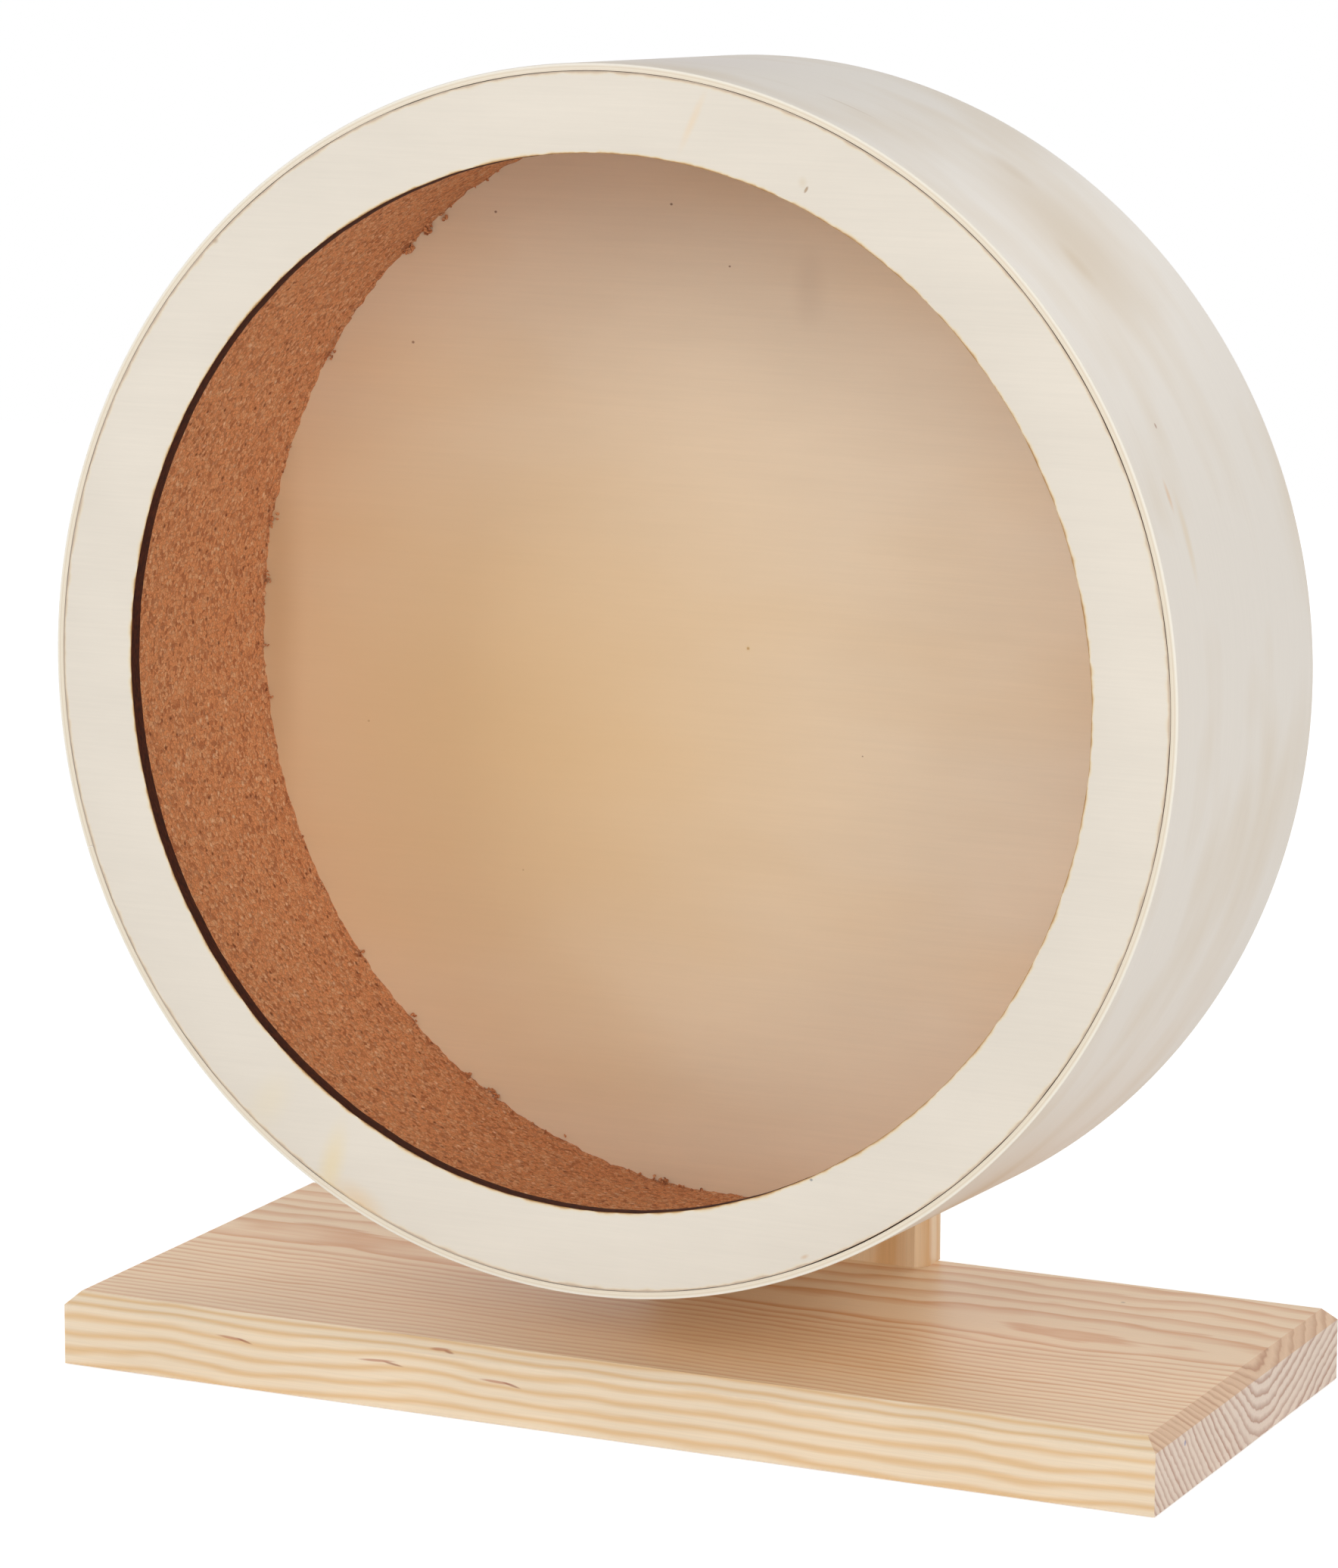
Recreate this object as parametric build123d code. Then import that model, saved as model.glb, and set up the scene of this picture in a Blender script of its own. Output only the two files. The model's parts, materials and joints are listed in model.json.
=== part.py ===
from build123d import *
import math
import os

# Wooden exercise wheel on a free-standing pine stand, in millimetres.
# The origin is the centre of the base board's underside. +Z is up, and the open side faces -Y.

# Base board
base_length = 285.0
base_depth = 125.0
base_thickness = 18.0
base_top_chamfer = 3.15

# Upright post, flush with the back of the base
post_width = 76.6
post_thickness = 12.0
post_front_chamfer = 2.8
post_back_chamfer = 2.0
post_above_axle = 34.0

# Drum: a bent band with a ring in front, a disc behind and cork on the running surface
drum_outer_radius = 143.4
drum_depth = 90.0
band_thickness = 1.75
ring_width = 18.7
ring_thickness = 4.0
ring_edge_gap = 0.15
disc_thickness = 4.0
disc_edge_gap = 0.05
cork_thickness = 7.3
cork_edge_gap = 0.05
# The lining is thicker above the axle than below it, so its bore sits this far below centre.
cork_bore_drop = 1.8
seam_width = 0.3
band_seam_angle = 200.0
cork_seam_angle = 15.0

# How the drum hangs: the axle slopes down to the back, so the open side faces slightly upwards
axle_tilt = 2.2
drum_to_base_gap = 13.8

# Axle bolt, nuts and washers, to the usual sizes for an 8 mm thread
axle_radius = 4.0
hex_across_flats = 13.0
bolt_head_height = 5.3
bolt_head_clearance = 1.2
bolt_end_chamfer = 0.8
bolt_beyond_nut = 4.8
clamp_nut_height = 5.0
thread_gap = 0.03
washer_bore_gap = 0.2
front_washer_radius = 8.0
front_washer_thickness = 1.6
rear_washer_radius = 12.0
rear_washer_thickness = 2.0
lock_nut_hex_height = 6.3
lock_nut_collar_radius = 6.2
lock_nut_collar_height = 1.7
insert_radius = 5.2
insert_thickness = 1.9
insert_lip = 0.4
insert_lip_opening = 4.8

# Holes and round seats for the axle in the post
axle_hole_gap = 0.2
washer_seat_gap = 1.0
front_seat_depth = 0.6
rear_seat_depth = 0.8

# Ball bearing, 8 by 22 by 7
bearing_width = 7.0
bearing_fit_gap = 0.02
inner_race_wall = 2.08
outer_race_wall = 2.1
race_gap = 2.8
race_edge_chamfer = 0.3
ball_radius = 1.984
ball_gap = 0.04
ball_count = 7
cage_wall = 1.2
cage_rim = 0.4
cage_prong = 1.1
shield_thickness = 0.4
shield_inset = 0.1
shield_step = 0.9
shield_running_gap = 0.25
shim_radius = 5.4
shim_thickness = 0.5

# Hub of three ply plates behind the disc
hub_radius = 30.0
hub_cover_thickness = 3.0
hub_head_clearance = 2.0
hub_nut_clearance = 1.5
hub_screw_circle = 21.0
hub_screw_count = 4
hub_screw_length = 14.0
hub_screw_radius = 1.5
hub_screw_head_radius = 3.0

# Screws and dowels that hold the post on the base. The cross recess is a share of the head's width.
post_screw_length = 45.0
post_screw_radius = 1.75
post_screw_head_radius = 3.5
post_screw_spacing = 56.0
screw_head_recess = 0.3
screw_hole_gap = 0.05
screw_recess_width = 0.7
screw_recess_share = 0.55
screw_recess_depth = 1.4
dowel_radius = 3.0
dowel_length = 30.0
dowel_in_base = 12.0
dowel_spacing = 24.0
dowel_chamfer = 0.6
dowel_gap = 0.05

# How far a cutting shape runs past the face that it opens
overrun = 1.0

# Places along the axle, counted from the front of the ring towards the back
tilt = math.radians(axle_tilt)
disc_front = drum_depth - disc_thickness
bolt_head_front = drum_depth + bolt_head_clearance
front_shim_front = bolt_head_front + bolt_head_height
bearing_front = front_shim_front + shim_thickness
bearing_middle = bearing_front + bearing_width / 2
bearing_back = bearing_front + bearing_width
clamp_nut_front = bearing_back + shim_thickness
clamp_nut_back = clamp_nut_front + clamp_nut_height
front_washer_front = clamp_nut_back
front_seat = front_washer_front + front_washer_thickness
post_front = front_seat - front_seat_depth
post_back = post_front + post_thickness / math.cos(tilt)
rear_seat = post_back - rear_seat_depth
lock_nut_front = rear_seat + rear_washer_thickness
lock_nut_collar_front = lock_nut_front + lock_nut_hex_height
lock_nut_back = lock_nut_collar_front + lock_nut_collar_height
insert_front = lock_nut_back - insert_lip - insert_thickness
bolt_end = lock_nut_back + bolt_beyond_nut
hub_cover_front = bearing_back
hub_back = hub_cover_front + hub_cover_thickness

# The axle's line, and the frame that the wheel is built in: its Z runs along the axle to the back
post_front_y = base_depth / 2 - post_thickness
post_middle_y = base_depth / 2 - post_thickness / 2
drum_back_height = base_thickness + drum_to_base_gap + drum_outer_radius * math.cos(tilt)
axle_height = drum_back_height - (post_front - drum_depth) * math.sin(tilt)
wheel_front_y = post_front_y - post_front * math.cos(tilt)
wheel_front_height = axle_height + post_front * math.sin(tilt)
wheel_frame = Plane(
    origin=(0, wheel_front_y, wheel_front_height),
    x_dir=(1, 0, 0),
    z_dir=(0, math.cos(tilt), -math.sin(tilt)),
)

# Radii that follow from the sizes above
band_inner_radius = drum_outer_radius - band_thickness
cork_outer_radius = band_inner_radius - cork_edge_gap
hex_corner_radius = hex_across_flats / math.sqrt(3)
inner_race_bore = axle_radius + bearing_fit_gap
inner_shoulder = inner_race_bore + inner_race_wall
outer_shoulder = inner_shoulder + race_gap
bearing_radius = outer_shoulder + outer_race_wall
pitch_radius = inner_shoulder + race_gap / 2
shield_seat_radius = outer_shoulder + shield_step


def turned(*points):
    """A solid turned about Z, from its (radius, height) outline."""
    outline = Plane.XZ * Polyline(*points, close=True)
    return revolve(make_face(outline), Axis.Z)


def tube(outer, inner, start, length):
    """A plain ring on the axle, from start to start + length."""
    return turned((inner, start), (outer, start), (outer, start + length), (inner, start + length))


def rod(radius, start, length):
    """A plain cylinder on the axle, from start to start + length."""
    return turned((0, start), (radius, start), (radius, start + length), (0, start + length))


def hexagon(start, height):
    """A hexagon bar on the axle with the corners of both ends turned down."""
    bar = extrude(RegularPolygon(hex_across_flats / 2, 6, major_radius=False), height)
    flat_radius = hex_across_flats / 2
    slope = (hex_corner_radius - flat_radius) * math.tan(math.radians(30))
    blank = turned(
        (0, 0), (flat_radius, 0), (hex_corner_radius, slope),
        (hex_corner_radius, height - slope), (flat_radius, height), (0, height),
    )
    return Pos(0, 0, start) * (bar & blank)


def thread(start, end):
    """The bolt's hole through a nut that lies from start to end."""
    return rod(axle_radius + thread_gap, start - overrun, end - start + 2 * overrun)


def on_axle(shape):
    """A shape built along the axle, put in its place in the object."""
    return wheel_frame.location * shape


def seam(angle, inner, outer, start, length):
    """The thin slot where the two ends of a bent strip meet, cut clear of its faces."""
    slot = Box(outer - inner + 2 * overrun, seam_width, length + 2 * overrun)
    return Rot(0, 0, -angle) * Pos((inner + outer) / 2, 0, start + length / 2) * slot


def countersunk_screw(length, radius, head_radius):
    """A screw with its head at Z = 0 and its point up, with a cross recess in the head."""
    head_height = head_radius - radius
    point = 2 * radius
    body = turned(
        (0, 0), (head_radius, 0), (radius, head_height), (radius, length - point), (0, length),
    )
    span = screw_recess_share * 2 * head_radius
    slot = Box(span, screw_recess_width, 2 * screw_recess_depth)
    return body - slot - Rot(0, 0, 90) * slot


def screw_hole(length, radius, head_radius, recess):
    """What a countersunk screw takes out of the wood, with its head sunk by recess."""
    wall = radius + screw_hole_gap
    mouth = head_radius + screw_hole_gap
    return turned(
        (0, -recess), (mouth, -recess), (mouth, 0), (wall, mouth - wall), (wall, length),
        (0, length),
    )


def base_board():
    board = Box(base_length, base_depth, base_thickness, align=(Align.CENTER, Align.CENTER, Align.MIN))
    top = board.faces().sort_by(Axis.Z)[-1]
    board = chamfer(top.edges(), base_top_chamfer)
    for x in (-post_screw_spacing / 2, post_screw_spacing / 2):
        hole = screw_hole(
            base_thickness + overrun, post_screw_radius, post_screw_head_radius, screw_head_recess,
        )
        board -= Pos(x, post_middle_y, screw_head_recess) * hole
    for x in (-dowel_spacing / 2, dowel_spacing / 2):
        floor = base_thickness - dowel_in_base
        socket = rod(dowel_radius + dowel_gap, floor, dowel_in_base + overrun)
        board -= Pos(x, post_middle_y, 0) * socket
    return board


def upright_post():
    height = axle_height + post_above_axle - base_thickness
    post = Pos(0, post_middle_y, base_thickness) * Box(
        post_width, post_thickness, height, align=(Align.CENTER, Align.CENTER, Align.MIN),
    )
    tall = post.edges().filter_by(Axis.Z)
    post = chamfer(tall.group_by(Axis.Y)[0], post_front_chamfer)
    tall = post.edges().filter_by(Axis.Z)
    post = chamfer(tall.group_by(Axis.Y)[-1], post_back_chamfer)
    post = chamfer(post.faces().sort_by(Axis.Z)[-1].edges(), post_back_chamfer)

    hole_length = post_back - post_front + 2 * post_thickness
    through = rod(axle_radius + axle_hole_gap, post_front - post_thickness, hole_length)
    front_pocket = rod(front_washer_radius + washer_seat_gap, front_seat - post_thickness, post_thickness)
    rear_pocket = rod(rear_washer_radius + washer_seat_gap, rear_seat, post_thickness)
    post -= on_axle(through)
    post -= on_axle(front_pocket)
    post -= on_axle(rear_pocket)

    for x in (-post_screw_spacing / 2, post_screw_spacing / 2):
        depth = post_screw_length + screw_head_recess - base_thickness + screw_hole_gap
        pilot = rod(post_screw_radius + screw_hole_gap, base_thickness - overrun, depth + overrun)
        post -= Pos(x, post_middle_y, 0) * pilot
    for x in (-dowel_spacing / 2, dowel_spacing / 2):
        depth = dowel_length - dowel_in_base
        socket = rod(dowel_radius + dowel_gap, base_thickness - overrun, depth + overrun)
        post -= Pos(x, post_middle_y, 0) * socket
    return post


def post_screws():
    screw = countersunk_screw(post_screw_length, post_screw_radius, post_screw_head_radius)
    return [
        Pos(x, post_middle_y, screw_head_recess) * screw
        for x in (-post_screw_spacing / 2, post_screw_spacing / 2)
    ]


def post_dowels():
    dowel = Cylinder(dowel_radius, dowel_length, align=(Align.CENTER, Align.CENTER, Align.MIN))
    dowel = chamfer(dowel.edges().filter_by(GeomType.CIRCLE), dowel_chamfer)
    return [
        Pos(x, post_middle_y, base_thickness - dowel_in_base) * dowel
        for x in (-dowel_spacing / 2, dowel_spacing / 2)
    ]


def axle_bolt():
    shank = turned(
        (0, front_shim_front), (axle_radius, front_shim_front),
        (axle_radius, bolt_end - bolt_end_chamfer),
        (axle_radius - bolt_end_chamfer, bolt_end), (0, bolt_end),
    )
    return on_axle(hexagon(bolt_head_front, bolt_head_height) + shank)


def bearing_shims():
    bore = axle_radius + bearing_fit_gap
    return [
        on_axle(tube(shim_radius, bore, start, shim_thickness))
        for start in (front_shim_front, bearing_back)
    ]


def clamp_nut():
    return on_axle(hexagon(clamp_nut_front, clamp_nut_height) - thread(clamp_nut_front, clamp_nut_back))


def front_washer():
    bore = axle_radius + washer_bore_gap
    return on_axle(tube(front_washer_radius, bore, front_washer_front, front_washer_thickness))


def rear_washer():
    bore = axle_radius + washer_bore_gap
    return on_axle(tube(rear_washer_radius, bore, rear_seat, rear_washer_thickness))


def lock_nut():
    collar = rod(lock_nut_collar_radius, lock_nut_collar_front, lock_nut_collar_height)
    nut = hexagon(lock_nut_front, lock_nut_hex_height) + collar
    nut -= thread(lock_nut_front, lock_nut_back)
    nut -= rod(insert_radius, insert_front, insert_thickness)
    nut -= rod(insert_lip_opening, lock_nut_back - insert_lip, insert_lip + overrun)
    return on_axle(nut)


def lock_nut_insert():
    outer = insert_radius - thread_gap
    return on_axle(tube(outer, axle_radius + thread_gap, insert_front, insert_thickness))


def raceway():
    """The round groove that the balls run in, cut from both races."""
    return Pos(0, 0, bearing_middle) * Torus(pitch_radius, ball_radius + ball_gap)


def bearing_inner_race():
    cut = race_edge_chamfer
    race = turned(
        (inner_race_bore, bearing_front + cut), (inner_race_bore + cut, bearing_front),
        (inner_shoulder, bearing_front), (inner_shoulder, bearing_back),
        (inner_race_bore + cut, bearing_back), (inner_race_bore, bearing_back - cut),
    )
    return on_axle(race - raceway())


def bearing_outer_race():
    cut = race_edge_chamfer
    step = shield_inset + shield_thickness
    race = turned(
        (shield_seat_radius, bearing_front), (bearing_radius - cut, bearing_front),
        (bearing_radius, bearing_front + cut), (bearing_radius, bearing_back - cut),
        (bearing_radius - cut, bearing_back), (shield_seat_radius, bearing_back),
        (shield_seat_radius, bearing_back - step), (outer_shoulder, bearing_back - step),
        (outer_shoulder, bearing_front + step), (shield_seat_radius, bearing_front + step),
    )
    return on_axle(race - raceway())


def bearing_shield(start):
    outer = shield_seat_radius - bearing_fit_gap
    inner = inner_shoulder + shield_running_gap
    return on_axle(tube(outer, inner, start, shield_thickness))


def ball_places():
    step = 360 / ball_count
    return [Rot(0, 0, i * step) * Pos(pitch_radius, 0, bearing_middle) for i in range(ball_count)]


def bearing_balls():
    return [on_axle(place * Sphere(ball_radius)) for place in ball_places()]


def bearing_cage():
    pocket_radius = ball_radius + ball_gap
    start = bearing_middle - pocket_radius - cage_rim
    length = pocket_radius + cage_rim + cage_prong
    cage = tube(pitch_radius + cage_wall / 2, pitch_radius - cage_wall / 2, start, length)
    for place in ball_places():
        cage -= place * Sphere(pocket_radius)
    return on_axle(cage)


def drum_band():
    band = tube(drum_outer_radius, band_inner_radius, 0, drum_depth)
    return on_axle(band - seam(band_seam_angle, band_inner_radius, drum_outer_radius, 0, drum_depth))


def front_ring():
    outer = band_inner_radius - ring_edge_gap
    return on_axle(tube(outer, outer - ring_width, 0, ring_thickness))


def back_disc():
    return on_axle(rod(band_inner_radius - disc_edge_gap, disc_front, disc_thickness))


def cork_lining():
    length = disc_front - ring_thickness
    bore_radius = cork_outer_radius - cork_thickness
    sheet = rod(cork_outer_radius, ring_thickness, length)
    bore = rod(bore_radius, ring_thickness - overrun, length + 2 * overrun)
    lining = sheet - Pos(0, cork_bore_drop, 0) * bore
    nearest = bore_radius - cork_bore_drop
    return on_axle(lining - seam(cork_seam_angle, nearest, cork_outer_radius, ring_thickness, length))


def hub_screw_places():
    step = 360 / hub_screw_count
    turn_over = Rot(180, 0, 0)
    return [
        Rot(0, 0, (i + 0.5) * step) * Pos(hub_screw_circle, 0, hub_back - screw_head_recess) * turn_over
        for i in range(hub_screw_count)
    ]


def without_hub_screws(plate):
    for place in hub_screw_places():
        plate -= place * screw_hole(
            hub_screw_length + screw_hole_gap, hub_screw_radius, hub_screw_head_radius,
            screw_head_recess + overrun,
        )
    return on_axle(plate)


def hub_base_plate():
    bore = hex_corner_radius + hub_head_clearance
    return without_hub_screws(tube(hub_radius, bore, drum_depth, bearing_front - drum_depth))


def hub_bearing_plate():
    bore = bearing_radius + bearing_fit_gap
    return without_hub_screws(tube(hub_radius, bore, bearing_front, bearing_width))


def hub_cover_plate():
    bore = hex_corner_radius + hub_nut_clearance
    return without_hub_screws(tube(hub_radius, bore, hub_cover_front, hub_cover_thickness))


def hub_screws():
    screw = countersunk_screw(hub_screw_length, hub_screw_radius, hub_screw_head_radius)
    return [on_axle(place * screw) for place in hub_screw_places()]


pieces = {
    "base_board": base_board(),
    "upright_post": upright_post(),
    "post_screws": post_screws(),
    "post_dowels": post_dowels(),
    "axle_bolt": axle_bolt(),
    "bearing_shims": bearing_shims(),
    "clamp_nut": clamp_nut(),
    "front_washer": front_washer(),
    "rear_washer": rear_washer(),
    "lock_nut": lock_nut(),
    "lock_nut_insert": lock_nut_insert(),
    "bearing_inner_race": bearing_inner_race(),
    "bearing_outer_race": bearing_outer_race(),
    "bearing_front_shield": bearing_shield(bearing_front + shield_inset),
    "bearing_rear_shield": bearing_shield(bearing_back - shield_inset - shield_thickness),
    "bearing_cage": bearing_cage(),
    "bearing_balls": bearing_balls(),
    "front_ring": front_ring(),
    "drum_band": drum_band(),
    "cork_lining": cork_lining(),
    "back_disc": back_disc(),
    "hub_base_plate": hub_base_plate(),
    "hub_bearing_plate": hub_bearing_plate(),
    "hub_cover_plate": hub_cover_plate(),
    "hub_screws": hub_screws(),
}

os.makedirs("parts", exist_ok=True)
for name, piece in pieces.items():
    shape = Compound(children=piece) if isinstance(piece, list) else piece
    export_step(shape, f"parts/{name}.step")

print(f"wheel front centre: y {wheel_front_y:.3f}, z {wheel_front_height:.3f}")
print(f"axle at the post's front: z {axle_height:.3f}, bolt length {bolt_end - front_shim_front:.2f}")
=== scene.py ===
import json
import math
import random

import bmesh
import bpy
from bpy.props import FloatProperty, FloatVectorProperty, IntProperty, PointerProperty
from mathutils import Matrix, Vector, noise


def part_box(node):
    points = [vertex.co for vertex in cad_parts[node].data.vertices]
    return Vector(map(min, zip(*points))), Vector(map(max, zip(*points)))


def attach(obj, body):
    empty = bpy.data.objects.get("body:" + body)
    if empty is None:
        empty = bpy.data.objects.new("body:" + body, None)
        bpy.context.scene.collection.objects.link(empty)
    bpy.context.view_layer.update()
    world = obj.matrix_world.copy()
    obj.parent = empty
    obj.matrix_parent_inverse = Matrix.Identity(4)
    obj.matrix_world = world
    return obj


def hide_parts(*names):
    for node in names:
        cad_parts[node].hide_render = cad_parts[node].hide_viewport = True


# A wooden hamster wheel on a pine stand: a bent ply drum lined with cork, on a ball bearing behind it.

bl_info = {
    "name": "Wooden Hamster Wheel",
    "version": (1, 0, 0),
    "blender": (4, 5, 0),
    "location": "3D View > Sidebar > Hamster Wheel",
    "description": "Builds a wooden hamster wheel and its stand, with procedural wood, cork and steel",
    "category": "Object",
}

MM = 0.001
FULL_TURN = 2 * math.pi

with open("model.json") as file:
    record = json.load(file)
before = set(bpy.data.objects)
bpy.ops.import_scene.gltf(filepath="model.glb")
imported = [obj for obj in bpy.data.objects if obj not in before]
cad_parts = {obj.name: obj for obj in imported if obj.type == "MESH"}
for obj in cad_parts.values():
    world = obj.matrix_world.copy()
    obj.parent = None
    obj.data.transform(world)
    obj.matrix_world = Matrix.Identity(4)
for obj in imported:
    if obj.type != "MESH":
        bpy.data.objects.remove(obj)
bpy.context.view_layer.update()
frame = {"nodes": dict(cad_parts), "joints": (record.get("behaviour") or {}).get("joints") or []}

# The wheel's own frame: X to the right, Y down the tilted wheel and Z along the axle towards the post
spin = next(joint for joint in frame["joints"] if joint["name"] == "wheel_spin")
axle = Vector(spin["axis"]).normalized()
right = Vector((1, 0, 0))
wheel_turn = Matrix((right, axle.cross(right), axle)).transposed().to_4x4()
wheel_place = Matrix.Translation(spin["pos_m"]) @ wheel_turn
from_wheel = wheel_place.inverted()


class Round:
    """What a turned CAD node measures about the axle: its depths and its least and greatest radius."""

    def __init__(self, node):
        points = [from_wheel @ vertex.co for vertex in frame["nodes"][node].data.vertices]
        radii = [math.hypot(point.x, point.y) for point in points]
        self.front = min(point.z for point in points)
        self.back = max(point.z for point in points)
        self.inner = min(radii)
        self.outer = max(radii)


ring_size = Round("front_ring")
band_size = Round("drum_band")
cork_size = Round("cork_lining")
disc_size = Round("back_disc")
bolt_size = Round("axle_bolt")
board_low, board_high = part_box("base_board")
post_low, post_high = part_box("upright_post")


def linear(colour):
    """An sRGB hex colour as linear red, green, blue and alpha."""
    channels = [int(colour[i:i + 2], 16) / 255 for i in (1, 3, 5)]
    return [c / 12.92 if c <= 0.04045 else ((c + 0.055) / 1.055) ** 2.4 for c in channels] + [1.0]


def length(name, description, default):
    return FloatProperty(name=name, description=description, default=default, min=0.0, subtype="DISTANCE",
                         unit="LENGTH", precision=5)


def tint(name, description, colour):
    return FloatVectorProperty(name=name, description=description, default=linear(colour)[:3], min=0.0,
                               max=1.0, size=3, subtype="COLOR")


class HamsterWheelShape(bpy.types.PropertyGroup):
    """Sizes that the visible pieces have beyond those of the CAD model."""

    board_chamfer: length("Board Chamfer", "Flat chamfer round the top of the base board", 3.15 * MM)
    post_front_chamfer: length("Post Front Chamfer", "Flat chamfer on the post's front edges", 2.8 * MM)
    post_back_chamfer: length("Post Back Chamfer", "Chamfer on the post's back and top edges", 2.0 * MM)
    sanded_edge: length("Sanded Edge", "Radius that sanding leaves on the solid wood", 0.45 * MM)
    ply_edge: length("Ply Edge", "Radius on the edges of the laser-cut ply", 0.08 * MM)
    bore_wobble: length("Bore Wobble", "How far the ring's laser-cut bore strays from a circle", 0.12 * MM)
    rim_gap: length("Rim Gap", "Widest gap between the ring and the band", 0.26 * MM)
    cork_drop: length("Cork Bore Drop", "How far the lining's bore sits below the axle", 1.8 * MM)
    cork_tear: length("Cork Tear", "How far the lining's rear edge is torn in and out", 0.5 * MM)
    crumb_size: length("Crumb Size", "Width of a cork crumb at the torn edge", 0.95 * MM)
    crumb_count: IntProperty(name="Crumbs", description="Loose crumbs along the torn edge, besides the tufts",
                             default=200, min=0, max=600)
    seed: IntProperty(name="Seed", description="Seed of everything random", default=7, min=0)
    thread_pitch: length("Thread Pitch", "Pitch of the 8 mm bolt thread", 1.25 * MM)
    thread_depth: length("Thread Depth", "Depth of the 8 mm bolt thread", 0.62 * MM)


class HamsterWheelFinish(bpy.types.PropertyGroup):
    """Colours of the woods, the cork and the marks on them."""

    ring_ply: tint("Ring Ply", "Sanded face veneer of the front ring", "#e6ddcf")
    band_ply: tint("Band Ply", "Sanded face veneer of the bent band", "#e8e0d5")
    disc_ply: tint("Disc Ply", "Sanded face veneer of the back disc", "#f3e0c4")
    laser_char: tint("Laser Char", "Burnt wall that the laser leaves", "#2a0d04")
    cork: tint("Cork", "Middle colour of the cork granules", "#e09c69")
    board_light: tint("Board Early Wood", "Pale part of each growth ring", "#edd9bd")
    board_dark: tint("Board Late Wood", "Darker part of each growth ring", "#dbae70")


def shape():
    return bpy.context.scene.hamster_wheel_shape


def finish():
    return bpy.context.scene.hamster_wheel_finish


# Nodes and meshes


def wire(tree, node, inputs):
    """Sets a node's live inputs, by order or by name, to values, sockets or nodes' first live outputs."""
    live = [socket for socket in node.inputs if socket.enabled]
    pairs = inputs.items() if isinstance(inputs, dict) else enumerate(inputs)
    for key, value in pairs:
        socket = live[key] if isinstance(key, int) else next(
            s for s in live if key in (s.identifier, s.name))
        if isinstance(value, bpy.types.Node):
            value = next(s for s in value.outputs if s.enabled)
        if isinstance(value, bpy.types.NodeSocket):
            tree.links.new(value, socket)
        else:
            socket.default_value = value
    return node


def add(tree, kind, inputs=(), stops=(), **settings):
    """Adds a node with its settings, its colour ramp's stops and its inputs.

    A kind that doesn't say Node is a shader node's.
    """
    made = tree.nodes.new(kind if "Node" in kind else f"ShaderNode{kind}")
    for key, value in settings.items():
        setattr(made, key, value)
    for i, (place, colour) in enumerate(stops):
        ramp = made.color_ramp.elements
        stop = ramp[i] if i < 2 else ramp.new(place)
        stop.position = place
        stop.color = linear(colour)
    return wire(tree, made, inputs)


# Edges that turn by more than this are corners
SHARP = math.radians(32)


def shade(mesh):
    """Shades a mesh smooth, with its corners sharp."""
    mesh.shade_smooth()
    mesh.set_sharp_from_angle(angle=SHARP)


def mesh_of(piece):
    """Removes a piece's object and keeps its mesh."""
    mesh = piece.data
    bpy.data.objects.remove(piece)
    return mesh


def new_piece(name, bm, place=None):
    """Turns a bmesh into a shaded object whose place is in its mesh."""
    bmesh.ops.remove_doubles(bm, verts=bm.verts, dist=1e-7)
    bmesh.ops.recalc_face_normals(bm, faces=bm.faces)
    mesh = bpy.data.meshes.new(name)
    bm.to_mesh(mesh)
    bm.free()
    mesh.transform(place or Matrix.Identity(4))
    shade(mesh)
    piece = bpy.data.objects.new(name, mesh)
    bpy.context.scene.collection.objects.link(piece)
    return piece


def joined(name, pieces):
    """Joins pieces into one object."""
    bm = bmesh.new()
    for piece in pieces:
        bm.from_mesh(piece.data)
        bpy.data.meshes.remove(mesh_of(piece))
    return new_piece(name, bm)


def settle(piece):
    """Turns a piece's modifiers into plain mesh."""
    evaluated = piece.evaluated_get(bpy.context.evaluated_depsgraph_get())
    mesh = bpy.data.meshes.new_from_object(evaluated)
    piece.modifiers.clear()
    before = piece.data
    piece.data = mesh
    mesh.name = piece.name
    bpy.data.meshes.remove(before)
    return piece


def soften(piece, width, steps=2):
    """Rounds a piece's sharp edges a little and keeps its flats flat."""
    bevel = piece.modifiers.new("Soft edges", "BEVEL")
    bevel.width = width
    bevel.segments = steps
    bevel.limit_method = "ANGLE"
    bevel.angle_limit = SHARP
    bevel.harden_normals = True
    return settle(piece)


def cut(piece, cutters):
    """Takes the cutters out of a piece, and removes them."""
    for cutter in cutters:
        difference = piece.modifiers.new("Cut", "BOOLEAN")
        difference.solver = "MANIFOLD"
        difference.object = cutter
    settle(piece)
    for cutter in cutters:
        bpy.data.meshes.remove(mesh_of(cutter))
    shade(piece.data)
    return piece


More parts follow.
